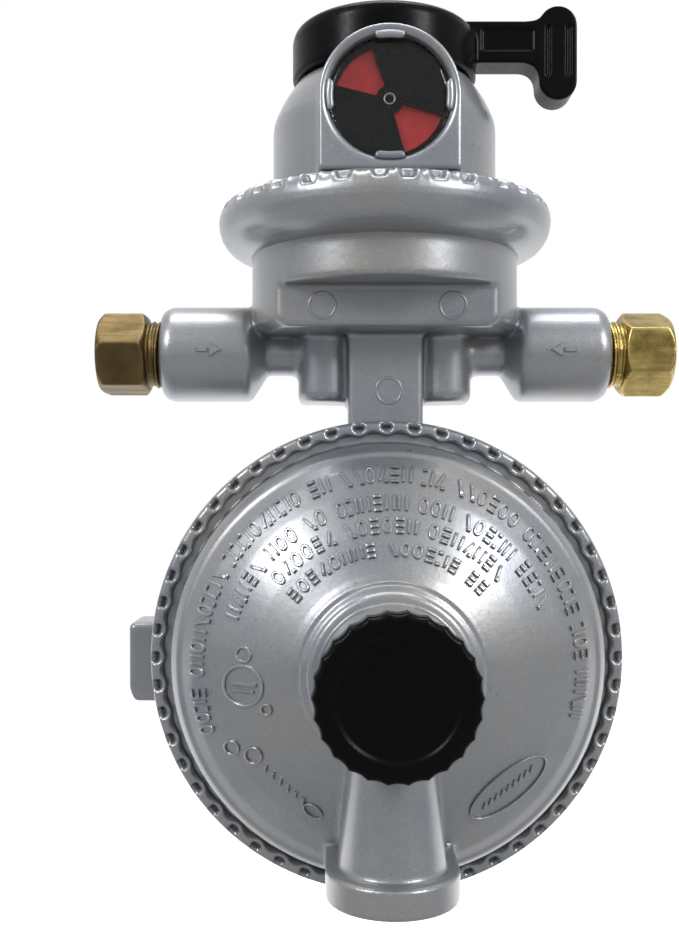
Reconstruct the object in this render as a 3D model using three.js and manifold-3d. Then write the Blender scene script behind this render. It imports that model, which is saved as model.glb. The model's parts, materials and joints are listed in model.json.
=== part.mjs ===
// Two-stage automatic changeover regulator for propane (LP gas), as fitted to caravans.
//
// Millimetres, +Z up, the window and the adjustment cap face -Y.
// Everything is drawn in a working frame whose origin is where the upright axis of the
// first stage crosses the common axis of the two inlets. The finished group is then moved
// so that the part's own origin is the centre of the flat mounting pad on its back.

import * as THREE from 'three';
import { mergeVertices } from 'three/addons/utils/BufferGeometryUtils.js';
import Module from 'manifold-3d';

const wasm = await Module();
wasm.setup();

// ---------------------------------------------------------------- driving dimensions

const STAGE_DROP = 59.9; // inlet axis down to the axis of the second stage
const BACK_PAD_Y = 20.0; // mounting pad behind the first-stage axis
const FIT = 0.2; // clearance between neighbouring pieces

// first stage, upright axis
const CUP_RADIUS = 26.9;
const CUP_BOTTOM = 3.5;
const CUP_FLOOR = 8.5;
const CHAMBER_RADIUS = 24.0;
const SUMP_RADIUS = 15.8; // narrower below the facet, to keep a wall behind it
const RIM_RADIUS = 33.6; // rolled rim that clamps the bonnet
const RIM_TOP = 30.2;
const DIAPHRAGM_SEAT = 20.5;
const BONNET_RADIUS = 22.6;
const BONNET_TOP = 54.4;
const BONNET_BORE = 4.15;
const FACET_Y = -17.0; // flat milled-looking facet across the front of the cup
const FACET_TOP = 11.5;

// inlets, axis along X
const INLET_RADIUS = 9.6;
const INLET_INNER = 26.9; // distance of the boss's inner and outer ends from the axis
const INLET_OUTER = 45.1;
const INLET_THREAD_RADIUS = 6.95;
const PASSAGE_OUTER_RADIUS = 4.3;
const PASSAGE_RADIUS = 2.5;
const FITTING_END = 57.8;
const HEX_ACROSS_CORNERS = 17.3; // 15 mm across flats

// inlet valves, upright, one beside each inlet
const VALVE_X = 12.2;
const VALVE_BOSS_RADIUS = 5.3;
const VALVE_BOSS_BOTTOM = -10.0;
const VALVE_CHAMBER_RADIUS = 3.0;
const STEM_TOP = 12.7;

// indicator window, axis along Y
const WINDOW_Z = 44.1;
const WINDOW_FACE_Y = -27.0;
const WINDOW_RADIUS = 13.0;
const WINDOW_BORE = 11.3;
const WINDOW_HALF_WIDTH = 13.0;
const WINDOW_FLOOR_Y = -20.4;
const PINION_PITCH_RADIUS = 1.91; // a quarter turn for 3 mm of rack travel
const PINION_TEETH = 8;
const SECTOR_CENTRES = [137, 314.5]; // degrees, seen from the front
const SECTOR_HALF_ANGLE = 28.5;

// changeover knob and lever
const KNOB_RADIUS = 18.65;
const KNOB_BOTTOM = 54.9;
const KNOB_TOP = 65.5;
const LEVER_HALF_THICKNESS = 3.55;
const LEVER_BOTTOM = 58.7;
const LEVER_TOP = 67.1;
const LEVER_HEAD_X = 35.05;
const LEVER_LOBE_RADIUS = 3.85;
const LEVER_LOBE_LOW = 55.05;
const LEVER_LOBE_HIGH = 66.35;

// second stage, axis along Y
const HOUSING_RADIUS = 45.8;
const HOUSING_FRONT_Y = -12.9;
const HOUSING_CHAMBER_RADIUS = 38.5;
const HOUSING_FLOOR_Y = 9.5;
const LOWER_SEAT_Y = -7.3;
const LOWER_BONNET_RADIUS = 41.3;
const TOWER_RADIUS = 12.8;
const TOWER_BORE = 10.3;
const TOWER_FRONT_Y = -48.4;
const CAP_RADIUS = 13.7;
const CAP_FRONT_Y = -54.2;
const CAP_FLUTES = 26;
const NECK_HALF_WIDTH = 7.4;
const PIVOT_Y = 6.0; // lever pivot
const PIVOT_Z = -31.0;
const LEVER_REACH = 28.9;

// vent and outlet, axes upright
const VENT_Y = -35.5;
const VENT_TUBE_RADIUS = 9.35; // where it meets the collar
const VENT_TUBE_TOP_RADIUS = 6.8; // under the cap
const VENT_TUBE_TAPER_TOP = -66;
const COLLAR_RADIUS = 11.66;
const COLLAR_TOP = -92.3;
const COLLAR_BOTTOM = -97.6;
const OUTLET_Y = 4.0;
const OUTLET_RADIUS = 11.5;
const OUTLET_BOTTOM = -111.0;
const OUTLET_THREAD_RADIUS = 7.9;

// pressure-tap lug on the left edge of the rear housing
const LUG_LEFT = -51.6;
const LUG_TOP = -54.4;
const LUG_BOTTOM = -70.3;
const TAP_Y = 2.5;
const TAP_Z = -61.8;

// mounting pad
const PAD_HALF_WIDTH = 20.0;
const PAD_HALF_HEIGHT = 12.0;
const PAD_HOLE_X = 13.0;
const PAD_HOLE_RADIUS = 2.6;

const BIG = 36; // facets round a casting
const MEDIUM = 20;
const SMALL = 12;

// ---------------------------------------------------------------- materials

const material = (color, roughness, metalness) =>
  new THREE.MeshStandardMaterial({ color, roughness, metalness });

const silverPaint = material(0x9a9ca0, 0.45, 0.5);
const blackPlastic = material(0x0c0c0d, 0.4, 0);
const brass = material(0xb08d3e, 0.35, 1);
const dullBrass = material(0x83683a, 0.5, 1);
const bronze = material(0x8a6a45, 0.8, 0.6);
const steel = material(0xb5b7ba, 0.35, 1);
const springSteel = material(0x8f9296, 0.3, 1);
const aluminium = material(0xc4c6c8, 0.4, 1);
const rubber = material(0x141414, 0.85, 0);
const whitePlastic = material(0xd8d6cf, 0.5, 0);
const redPlastic = material(0xb81e1e, 0.4, 0);
const clearPlastic = material(0xdfe6e8, 0.05, 0);
clearPlastic.transparent = true;
clearPlastic.opacity = 0.3;

// ---------------------------------------------------------------- solid helpers

// A closed three.js geometry as a solid that can be joined and cut.
function solid(geometry) {
  const bare = geometry.clone();
  bare.deleteAttribute('normal');
  bare.deleteAttribute('uv');
  const merged = mergeVertices(bare);
  const corners = merged.index.array;
  const triangles = [];
  for (let i = 0; i < corners.length; i += 3) {
    const [a, b, c] = corners.slice(i, i + 3);
    if (a !== b && b !== c && c !== a) triangles.push(a, b, c);
  }
  return new wasm.Manifold(new wasm.Mesh({
    numProp: 3,
    vertProperties: Float32Array.from(merged.attributes.position.array),
    triVerts: Uint32Array.from(triangles),
  }));
}

const join = (first, ...others) => others.reduce((sum, other) => sum.add(other), first);
const cut = (first, ...others) => others.reduce((rest, other) => rest.subtract(other), first);

// Turn a shape made round the Y axis so that it lies round the named axis instead.
function alongAxis(geometry, axis) {
  if (axis === 'z') geometry.rotateX(Math.PI / 2);
  if (axis === 'x') geometry.rotateZ(-Math.PI / 2);
  return geometry;
}

// A turned solid: [radius, distance along the axis] pairs, anticlockwise, on-axis at both
// ends or closed on themselves.
function turned(axis, profile, { at = [0, 0, 0], facets = MEDIUM, spin = 0 } = {}) {
  const points = profile.map(([radius, along]) => new THREE.Vector2(radius, along));
  const geometry = new THREE.LatheGeometry(points, facets).rotateY(spin);
  return solid(alongAxis(geometry, axis).translate(...at));
}

function rod(axis, radius, from, to, options) {
  return turned(axis, [[0, from], [radius, from], [radius, to], [0, to]], options);
}

function ring(axis, inner, outer, from, to, options) {
  return turned(axis, [[inner, from], [outer, from], [outer, to], [inner, to], [inner, from]], options);
}

// A box from its lowest to its highest corner.
function block([x0, y0, z0], [x1, y1, z1]) {
  const geometry = new THREE.BoxGeometry(x1 - x0, y1 - y0, z1 - z0);
  return solid(geometry.translate((x0 + x1) / 2, (y0 + y1) / 2, (z0 + z1) / 2));
}

// An outline drawn in X and Z, made thick from y0 (front) to y1 (back).
function plate(shape, y0, y1, at = [0, 0, 0], curveSegments = 6) {
  const geometry = new THREE.ExtrudeGeometry(shape, {
    depth: y1 - y0, bevelEnabled: false, curveSegments,
  });
  return solid(geometry.rotateX(Math.PI / 2).translate(at[0], at[1] + y1, at[2]));
}

// A coil spring round the named axis.
class Helix extends THREE.Curve {
  constructor(radius, length, turns) {
    super();
    this.radius = radius;
    this.length = length;
    this.turns = turns;
  }

  getPoint(t, target = new THREE.Vector3()) {
    const angle = t * this.turns * 2 * Math.PI;
    return target.set(this.radius * Math.cos(angle), t * this.length, -this.radius * Math.sin(angle));
  }
}

function spring(axis, { radius, wire, from, to, turns, at = [0, 0, 0] }) {
  const sides = 5;
  const stepsPerTurn = 8;
  const section = new THREE.Shape();
  for (let i = 0; i < sides; i += 1) {
    const angle = (i / sides) * 2 * Math.PI;
    const corner = [wire * Math.cos(angle), wire * Math.sin(angle)];
    if (i === 0) section.moveTo(...corner);
    else section.lineTo(...corner);
  }
  section.closePath();
  const path = new Helix(radius, to - from - 2 * wire, turns);
  const geometry = new THREE.ExtrudeGeometry(section, {
    steps: Math.round(turns * stepsPerTurn), bevelEnabled: false, extrudePath: path,
  });
  geometry.translate(0, from + wire, 0);
  return solid(alongAxis(geometry, axis).translate(...at));
}

const degrees = (angle) => (angle * Math.PI) / 180;

// ---------------------------------------------------------------- the assembly's tree

const group = new THREE.Group();
const regulator = new THREE.Group();
regulator.position.set(0, -BACK_PAD_Y, STAGE_DROP);
group.add(regulator);

function add(name, finish, manifold, turn = 0) {
  const mesh = manifold.getMesh();
  const geometry = new THREE.BufferGeometry();
  geometry.setAttribute('position', new THREE.BufferAttribute(mesh.vertProperties, 3));
  geometry.setIndex(new THREE.BufferAttribute(mesh.triVerts, 1));
  geometry.computeVertexNormals();
  const piece = new THREE.Mesh(geometry, finish.clone());
  piece.name = name;
  piece.rotation.z = turn;
  regulator.add(piece);
}

// The right-hand side is drawn first; the left-hand side is the same, turned about Z.
const SIDES = [
  { side: 'right', turn: 0, hexSpin: degrees(2), finish: brass },
  { side: 'left', turn: Math.PI, hexSpin: degrees(-10), finish: dullBrass },
];
const STAGE_TWO = [0, 0, -STAGE_DROP];

// ---------------------------------------------------------------- main body casting

function firstStageCup() {
  const outside = turned('z', [
    [0, CUP_BOTTOM], [25.4, CUP_BOTTOM], [CUP_RADIUS, CUP_BOTTOM + 1.5], [CUP_RADIUS, 18.3],
    [28.6, 18.9], [31.2, 20.4], [33.0, 23.0], [RIM_RADIUS, 25.6], [33.3, 27.6],
    [32.4, 28.9], [30.6, 29.7], [24.0, RIM_TOP], [0, RIM_TOP],
  ], { facets: BIG });
  const facet = block([-30, -40, CUP_BOTTOM - 1], [30, FACET_Y, FACET_TOP]);
  return cut(outside, facet);
}

function firstStageChamber() {
  return turned('z', [
    [0, CUP_FLOOR], [SUMP_RADIUS, CUP_FLOOR], [SUMP_RADIUS, FACET_TOP + 1],
    [CHAMBER_RADIUS, FACET_TOP + 1], [CHAMBER_RADIUS, DIAPHRAGM_SEAT],
    [29.3, DIAPHRAGM_SEAT], [29.3, 27.0], [23.4, 28.9], [23.4, 32], [0, 32],
  ], { facets: BIG });
}

function inletBoss(turn) {
  const profile = [
    [0, 8], [PASSAGE_OUTER_RADIUS, 8], [PASSAGE_OUTER_RADIUS, 23.8],
    [INLET_RADIUS - 0.5, INLET_INNER], [INLET_RADIUS, INLET_INNER + 0.6],
    [INLET_RADIUS, INLET_OUTER - 2.2], [8.9, INLET_OUTER - 0.7], [7.9, INLET_OUTER], [0, INLET_OUTER],
  ];
  return turnAboutZ(profile, turn, MEDIUM);
}

function inletBore(turn) {
  const bore = [
    [0, VALVE_X], [PASSAGE_RADIUS, VALVE_X], [PASSAGE_RADIUS, 31], [4.5, 31], [4.5, 34.5],
    [6.45, 34.5], [INLET_THREAD_RADIUS + FIT, INLET_OUTER], [INLET_THREAD_RADIUS + FIT, 46], [0, 46],
  ];
  return turnAboutZ(bore, turn, SMALL);
}

function turnAboutZ(profile, turn, facets) {
  const points = profile.map(([radius, along]) => new THREE.Vector2(radius, along));
  const geometry = alongAxis(new THREE.LatheGeometry(points, facets), 'x');
  return solid(geometry.rotateZ(turn));
}

function valveBoss(sign) {
  const x = sign * VALVE_X;
  const round = turned('z', [
    [0, VALVE_BOSS_BOTTOM], [VALVE_BOSS_RADIUS - 1.6, VALVE_BOSS_BOTTOM],
    [VALVE_BOSS_RADIUS, VALVE_BOSS_BOTTOM + 1.6], [VALVE_BOSS_RADIUS, 5], [0, 5],
  ], { at: [x, -1.5, 0], facets: SMALL });
  const web = block(
    [x - VALVE_BOSS_RADIUS + 0.2, -1.5, VALVE_BOSS_BOTTOM + 0.8],
    [x + VALVE_BOSS_RADIUS - 0.2, 6, 5],
  );
  return join(round, web);
}

function valveBore(sign) {
  const at = [sign * VALVE_X, 0, 0];
  const seat = rod('z', 3.6, 3.0, CUP_FLOOR + 1, { at, facets: SMALL });
  const chamber = rod('z', VALVE_CHAMBER_RADIUS, -7.5, 3.5, { at, facets: SMALL });
  return join(seat, chamber);
}

function rearHousing() {
  const bowl = turned('y', [
    [0, HOUSING_FRONT_Y], [44.9, HOUSING_FRONT_Y], [HOUSING_RADIUS, HOUSING_FRONT_Y + 0.9],
    [HOUSING_RADIUS, -4.5], [45.0, -3.4], [42.4, -3.0], [41.4, 2.0], [38.2, 8.6],
    [33.5, 12.6], [28, 14.2], [0, 14.2],
  ], { at: STAGE_TWO, facets: BIG });
  const pad = block(
    [-PAD_HALF_WIDTH, 12, -STAGE_DROP - PAD_HALF_HEIGHT],
    [PAD_HALF_WIDTH, BACK_PAD_Y, -STAGE_DROP + PAD_HALF_HEIGHT],
  );
  return join(bowl, pad, rearRib());
}

// The stiffening rib that runs up the back from the pad to the neck, drawn in Y and Z.
function rearRib() {
  const outline = new THREE.Shape();
  outline.moveTo(8, 8);
  outline.lineTo(3, 46);
  outline.lineTo(6.5, 46);
  outline.lineTo(12.8, 34);
  outline.lineTo(16.2, 27);
  outline.lineTo(16.2, 8);
  outline.closePath();
  const width = 3.2;
  const geometry = new THREE.ExtrudeGeometry(outline, { depth: width, bevelEnabled: false });
  geometry.rotateX(Math.PI / 2).rotateZ(Math.PI / 2).translate(-width / 2, 0, -STAGE_DROP);
  return solid(geometry);
}

function housingChamber() {
  return turned('y', [
    [0, -14], [43.1, -14], [43.1, -11.6], [44.4, -11.6], [44.4, LOWER_SEAT_Y],
    [HOUSING_CHAMBER_RADIUS, LOWER_SEAT_Y], [HOUSING_CHAMBER_RADIUS, 1.5], [35.5, 7.5],
    [31, HOUSING_FLOOR_Y], [0, HOUSING_FLOOR_Y],
  ], { at: STAGE_TWO, facets: BIG });
}

function tapLug() {
  const outline = new THREE.Shape();
  outline.moveTo(LUG_LEFT, LUG_TOP - 2);
  outline.lineTo(LUG_LEFT + 0.4, LUG_BOTTOM + 3.6);
  outline.lineTo(LUG_LEFT + 1.6, LUG_BOTTOM);
  outline.lineTo(-36, LUG_BOTTOM);
  outline.lineTo(-36, LUG_TOP);
  outline.lineTo(LUG_LEFT + 1.4, LUG_TOP);
  outline.quadraticCurveTo(LUG_LEFT, LUG_TOP, LUG_LEFT, LUG_TOP - 2);
  return plate(outline, -4.2, 8.6, [0, 0, 0], 3);
}

function tapBore() {
  const at = [0, TAP_Y, TAP_Z];
  return join(
    rod('x', 4.3, LUG_LEFT - 1, -44.5, { at, facets: SMALL }),
    rod('x', 1.5, -45, -36, { at, facets: 10 }),
  );
}

function pivotLugs() {
  const lug = (x0, x1) => block([x0, 3.2, PIVOT_Z - 3.2], [x1, HOUSING_FLOOR_Y + 1, PIVOT_Z + 3.2]);
  const hole = rod('x', 1.45, -9, 9, { at: [0, PIVOT_Y, PIVOT_Z], facets: SMALL });
  return cut(join(lug(-7.2, -4.2), lug(4.2, 7.2)), hole);
}

function mainBody() {
  const neck = block([-NECK_HALF_WIDTH, -8.5, -24], [NECK_HALF_WIDTH, 8, 5]);
  const outletBoss = turned('z', [
    [0, OUTLET_BOTTOM], [OUTLET_RADIUS - 0.9, OUTLET_BOTTOM], [OUTLET_RADIUS, OUTLET_BOTTOM + 0.9],
    [OUTLET_RADIUS, -92], [0, -92],
  ], { at: [0, OUTLET_Y, 0], facets: MEDIUM });
  const outside = join(
    firstStageCup(), ...SIDES.map(({ turn }) => inletBoss(turn)), valveBoss(1), valveBoss(-1),
    neck, rearHousing(), outletBoss, tapLug(),
  );
  const centrePassage = rod('z', PASSAGE_RADIUS, -14, CUP_FLOOR + 1, { facets: SMALL });
  const orificeSeat = rod('z', 4.7, -24.5, -13.2, { facets: SMALL });
  const outletBore = join(
    rod('z', OUTLET_THREAD_RADIUS, OUTLET_BOTTOM - 1, -99.8, { at: [0, OUTLET_Y, 0], facets: SMALL }),
    rod('z', 5, -100.5, -92, { at: [0, OUTLET_Y, 0], facets: SMALL }),
  );
  const padHoles = [-PAD_HOLE_X, PAD_HOLE_X].map((x) =>
    rod('y', PAD_HOLE_RADIUS, BACK_PAD_Y - 6.5, BACK_PAD_Y + 1, { at: [x, 0, -STAGE_DROP], facets: SMALL }));
  const hollow = cut(
    outside, firstStageChamber(), ...SIDES.map(({ turn }) => inletBore(turn)), valveBore(1),
    valveBore(-1), centrePassage, orificeSeat, housingChamber(), outletBore, tapBore(), ...padHoles,
  );
  return join(hollow, pivotLugs());
}

// ---------------------------------------------------------------- first-stage bonnet

function firstStageBonnet() {
  const at = [0, 0, WINDOW_Z];
  const shell = turned('z', [
    [0, 22.0], [29.0, 22.0], [29.0, 26.7], [23.1, 28.6], [BONNET_RADIUS, 29.2],
    [BONNET_RADIUS, 45.4], [22.1, 47.4], [20.6, 50.2], [18.9, 52.6], [17.8, BONNET_TOP], [0, BONNET_TOP],
  ], { facets: BIG });
  const windowBoss = join(
    block([-WINDOW_HALF_WIDTH, WINDOW_FACE_Y, RIM_TOP + 0.3], [WINDOW_HALF_WIDTH, -14, WINDOW_Z]),
    rod('y', WINDOW_RADIUS, WINDOW_FACE_Y, -14, { at, facets: BIG }),
  );
  const underKnob = block([-20, -19.4, BONNET_TOP], [20, -10, BONNET_TOP + 5]);
  const cavity = turned('z', [
    [0, 21], [23.6, 21], [23.6, 22.9], [19.8, 25.7], [19.8, 45.4], [18.2, 49.2], [15.6, 51.8], [0, 51.8],
  ], { facets: BIG });
  const innerWall = block([-9, WINDOW_FLOOR_Y, 30], [9, -17.9, 52.4]);
  const hub = rod('z', 6.5, 44, 52.5, { facets: SMALL });
  const recess = rod('y', WINDOW_BORE, WINDOW_FACE_Y - 1, WINDOW_FLOOR_Y, { at, facets: BIG });
  const tabs = [
    block([-2.6, WINDOW_FACE_Y, 10.2 + WINDOW_Z], [2.6, WINDOW_FACE_Y + 0.8, 11.8 + WINDOW_Z]),
    block([-2.6, WINDOW_FACE_Y, -11.8 + WINDOW_Z], [2.6, WINDOW_FACE_Y + 0.8, -10.2 + WINDOW_Z]),
    block([10.2, WINDOW_FACE_Y, -2.6 + WINDOW_Z], [11.8, WINDOW_FACE_Y + 0.8, 2.6 + WINDOW_Z]),
    block([-11.8, WINDOW_FACE_Y, -2.6 + WINDOW_Z], [-10.2, WINDOW_FACE_Y + 0.8, 2.6 + WINDOW_Z]),
  ];
  const hollow = join(cut(join(shell, windowBoss), cavity, underKnob), innerWall, hub);
  const shaftBore = rod('z', BONNET_BORE, 43, 56, { facets: SMALL });
  const spindleBore = rod('y', 0.95, -21.5, -17, { at, facets: 10 });
  return join(cut(hollow, recess, shaftBore, spindleBore), ...tabs);
}

// ---------------------------------------------------------------- changeover knob

function leverOutline() {
  const outline = new THREE.Shape();
  const inner = LEVER_HEAD_X - LEVER_LOBE_RADIUS;
  outline.moveTo(6, LEVER_BOTTOM);
  outline.lineTo(27.4, LEVER_BOTTOM);
  outline.quadraticCurveTo(inner, LEVER_BOTTOM, inner, LEVER_LOBE_LOW);
  outline.absarc(LEVER_HEAD_X, LEVER_LOBE_LOW, LEVER_LOBE_RADIUS, Math.PI, 2 * Math.PI, false);
  outline.absarc(LEVER_HEAD_X, LEVER_LOBE_HIGH, LEVER_LOBE_RADIUS, 0, degrees(150), false);
  outline.quadraticCurveTo(inner, LEVER_TOP, 28.4, LEVER_TOP);
  outline.lineTo(6, LEVER_TOP);
  outline.closePath();
  return outline;
}

function changeoverKnob() {
  const disc = turned('z', [
    [0, KNOB_BOTTOM], [18.0, KNOB_BOTTOM], [KNOB_RADIUS, KNOB_BOTTOM + 0.7],
    [KNOB_RADIUS, KNOB_TOP - 2.2], [18.0, KNOB_TOP - 0.7], [16.4, KNOB_TOP], [0, KNOB_TOP],
  ], { facets: BIG });
  const lever = plate(leverOutline(), -LEVER_HALF_THICKNESS, LEVER_HALF_THICKNESS);
  const groove = (x) => block(
    [x - 0.45, -LEVER_HALF_THICKNESS - 1, 56], [x + 0.45, -LEVER_HALF_THICKNESS + 0.5, 66],
  );
  const hollow = ring('z', 8, 16.4, KNOB_BOTTOM - 1, 59.0, { facets: MEDIUM });
  const socket = block([-2.95, -2.95, KNOB_BOTTOM - 1], [2.95, 2.95, 61.7]);
  const screwHole = rod('z', 1.95, 61, 68, { facets: SMALL });
  const headRecess = rod('z', 4.2, 63.5, 68, { facets: SMALL });
  return cut(join(disc, lever), groove(33.1), groove(37.2), hollow, socket, screwHole, headRecess);
}

function changeoverShaft() {
  const journal = turned('z', [
    [0, 22.3], [1.9, 22.3], [1.9, 44.1], [3.95, 44.1], [3.95, 49.0], [2.9, 49.0],
    [2.9, 51.0], [3.95, 51.0], [3.95, 54.7], [0, 54.7],
  ], { facets: SMALL });
  const knobSquare = block([-2.8, -2.8, 54.6], [2.8, 2.8, 61.5]);
  const camSquare = block([-1.3, -1.3, 13.2], [1.3, 1.3, 22.8]);
  const screwHole = rod('z', 1.9, 53, 62, { facets: SMALL });
  return cut(join(journal, knobSquare, camSquare), screwHole);
}

function knobScrew() {
  const body = turned('z', [
    [0, 54], [1.7, 54], [1.7, 63.7], [3.7, 63.7], [3.7, 64.7], [2.8, 65.3], [0, 65.3],
  ], { facets: SMALL });
  const slot = block([-0.5, -5, 64.5], [0.5, 5, 66]);
  return cut(body, slot);
}

function changeoverCam() {
  const disc = join(
    rod('z', 15.5, 14.9, 16.7, { facets: MEDIUM }),
    rod('z', 5.0, 16.6, 18.7, { facets: SMALL }),
  );
  const sector = new THREE.Shape();
  sector.moveTo(9.4 * Math.cos(degrees(-35)), 9.4 * Math.sin(degrees(-35)));
  sector.absarc(0, 0, 15.4, degrees(-35), degrees(35), false);
  sector.absarc(0, 0, 9.4, degrees(35), degrees(-35), true);
  const geometry = new THREE.ExtrudeGeometry(sector, { depth: 2.1, bevelEnabled: false, curveSegments: 6 });
  const pad = solid(geometry.translate(0, 0, STEM_TOP + FIT));
  const square = block([-1.45, -1.45, 12], [1.45, 1.45, 19.5]);
  return cut(join(disc, pad), square);
}

// ---------------------------------------------------------------- indicator

function sectorWindow(centre) {
  const from = degrees(centre - SECTOR_HALF_ANGLE);
  const to = degrees(centre + SECTOR_HALF_ANGLE);
  const sector = new THREE.Shape();
  sector.moveTo(2.5 * Math.cos(from), 2.5 * Math.sin(from));
  sector.absarc(0, 0, 9.9, from, to, false);
  sector.absarc(0, 0, 2.5, to, from, true);
  return plate(sector, -25, -22, [0, 0, WINDOW_Z], 8);
}

function indicatorMask() {
  const disc = ring('y', 1.1, 11.1, -23.9, -23.1, { at: [0, 0, WINDOW_Z], facets: BIG });
  return cut(disc, ...SECTOR_CENTRES.map(sectorWindow));
}

// Straight-flanked teeth, thin enough to leave backlash at every angle.
function pinionOutline() {
  const rootRadius = PINION_PITCH_RADIUS - 0.55;
  const tipRadius = PINION_PITCH_RADIUS + 0.4;
  const outline = new THREE.Shape();
  const pitch = 360 / PINION_TEETH;
  for (let tooth = 0; tooth < PINION_TEETH; tooth += 1) {
    const middle = (tooth + 0.5) * pitch;
    const corners = [[-12, rootRadius], [-4, tipRadius], [4, tipRadius], [12, rootRadius]];
    for (const [offset, radius] of corners) {
      const angle = degrees(middle + offset);
      const point = [radius * Math.cos(angle), radius * Math.sin(angle)];
      if (tooth === 0 && offset === -12) outline.moveTo(...point);
      else outline.lineTo(...point);
    }
  }
  outline.closePath();
  return outline;
}

function indicatorSpindle() {
  const at = [0, 0, WINDOW_Z];
  return join(rod('y', 0.75, -23.6, -17, { at, facets: 10 }), plate(pinionOutline(), -17.6, -15.8, at));
}

function indicatorDisc() {
  const at = [0, 0, WINDOW_Z];
  return join(
    ring('y', 0.95, 9.9, -22.8, -22.0, { at, facets: MEDIUM }),
    ring('y', 0.95, 2.2, -22.1, -20.7, { at, facets: SMALL }),
  );
}

function indicatorRack() {
  const toothPitch = (2 * Math.PI * PINION_PITCH_RADIUS) / PINION_TEETH;
  const rootX = -PINION_PITCH_RADIUS - 0.6;
  const tipX = -PINION_PITCH_RADIUS + 0.35;
  const bottom = 23.4;
  const top = WINDOW_Z + 1.9;
  const outline = new THREE.Shape();
  outline.moveTo(-4.0, bottom);
  outline.lineTo(rootX, bottom);
  for (let tooth = -3; tooth <= 1; tooth += 1) {
    const middle = WINDOW_Z + tooth * toothPitch;
    outline.lineTo(rootX, middle - 0.36);
    outline.lineTo(tipX, middle - 0.1);
    outline.lineTo(tipX, middle + 0.1);
    outline.lineTo(rootX, middle + 0.36);
  }
  outline.lineTo(rootX, top);
  outline.lineTo(-4.0, top);
  outline.closePath();
  const foot = block([-5.5, -16.6, bottom], [-1.5, -14.4, bottom + 1.2]);
  return join(plate(outline, -17.4, -16.0), foot);
}

// ---------------------------------------------------------------- first-stage diaphragm

function firstStageDiaphragm() {
  return turned('z', [
    [3.6, 20.6], [29.1, 20.6], [29.1, 21.8], [3.6, 21.8], [3.6, 20.6],
  ], { facets: MEDIUM });
}

function diaphragmHub() {
  return join(
    ring('z', 2.15, 10, 18.9, 20.4, { facets: MEDIUM }),
    ring('z', 2.15, 3.4, 20.3, 25.1, { facets: SMALL }),
  );
}

function diaphragmPlate() {
  return join(
    ring('z', 3.6, 16.9, 22.0, 23.2, { facets: MEDIUM }),
    ring('z', 12.6, 13.4, 23.1, 24.7, { facets: MEDIUM }),
  );
}

function diaphragmNut() {
  const hex = rod('z', 5.8, 23.4, 25.2, { facets: 6 });
  return cut(hex, rod('z', 3.6, 22, 26, { facets: SMALL }));
}

// ---------------------------------------------------------------- inlet pieces

function inletFitting(hexSpin) {
  const shank = turned('x', [
    [0, 34.7], [6.2, 34.7], [INLET_THREAD_RADIUS - 0.05, INLET_OUTER],
    [INLET_THREAD_RADIUS - 0.05, 46.6], [6.3, 47.2], [6.3, 48.6], [0, 48.6],
  ], { facets: SMALL });
  const corner = HEX_ACROSS_CORNERS / 2;
  const hexBar = turned('x', [[0, 48], [corner, 48], [corner, FITTING_END], [0, FITTING_END]],
    { facets: 6, spin: hexSpin });
  const chamfer = turned('x', [
    [0, 48], [7.3, 48], [corner + 0.1, 49.2], [corner + 0.1, FITTING_END - 1.4], [7.2, FITTING_END],
    [0, FITTING_END],
  ], { facets: MEDIUM });
  const flareSocket = turned('x', [
    [0, 34], [2.3, 34], [2.3, 53.6], [4.0, 51.9], [5.1, 51.9], [5.1, FITTING_END - 0.7],
    [5.8, FITTING_END + 0.6], [0, FITTING_END + 0.6],
  ], { facets: SMALL });
  return cut(join(shank, hexBar.intersect(chamfer)), flareSocket);
}

function inletSeat() {
  return turned('z', [
    [1.5, 2.8], [2.2, 2.8], [2.2, 3.25], [3.4, 3.25], [3.4, 8.3], [1.5, 8.3], [1.5, 2.8],
  ], { at: [VALVE_X, 0, 0], facets: SMALL });
}

function inletPoppet() {
  return turned('z', [
    [0, -2.6], [1.1, -2.6], [1.1, -0.3], [2.4, -0.3], [2.4, 0.7], [0.9, 0.7], [0.9, STEM_TOP], [0, STEM_TOP],
  ], { at: [VALVE_X, 0, 0], facets: 12 });
}

function inletPieces({ side, turn, hexSpin, finish }) {
  const at = [VALVE_X, 0, 0];
  add(`inlet_fitting_${side}`, finish, inletFitting(hexSpin), turn);
  add(`inlet_filter_${side}`, bronze, rod('x', 4.3, 31.2, 34.3, { facets: SMALL }), turn);
  add(`inlet_valve_seat_${side}`, brass, inletSeat(), turn);
  add(`inlet_poppet_${side}`, steel, inletPoppet(), turn);
  add(`inlet_poppet_pad_${side}`, rubber, ring('z', 1.1, 2.3, 0.9, 1.7, { at, facets: 12 }), turn);
  add(`inlet_poppet_spring_${side}`, springSteel,
    spring('z', { radius: 1.9, wire: 0.35, from: -7.3, to: -0.5, turns: 4, at }), turn);
}

// ---------------------------------------------------------------- second stage

function ventWebOutline() {
  const outline = new THREE.Shape();
  outline.moveTo(-VENT_TUBE_RADIUS, COLLAR_TOP - 1);
  outline.lineTo(VENT_TUBE_RADIUS, COLLAR_TOP - 1);
  outline.lineTo(VENT_TUBE_RADIUS, COLLAR_TOP);
  outline.lineTo(VENT_TUBE_TOP_RADIUS, VENT_TUBE_TAPER_TOP);
  outline.lineTo(VENT_TUBE_TOP_RADIUS, -60);
  outline.lineTo(-VENT_TUBE_TOP_RADIUS, -60);
  outline.lineTo(-VENT_TUBE_TOP_RADIUS, VENT_TUBE_TAPER_TOP);
  outline.lineTo(-VENT_TUBE_RADIUS, COLLAR_TOP);
  outline.closePath();
  return outline;
}

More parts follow.
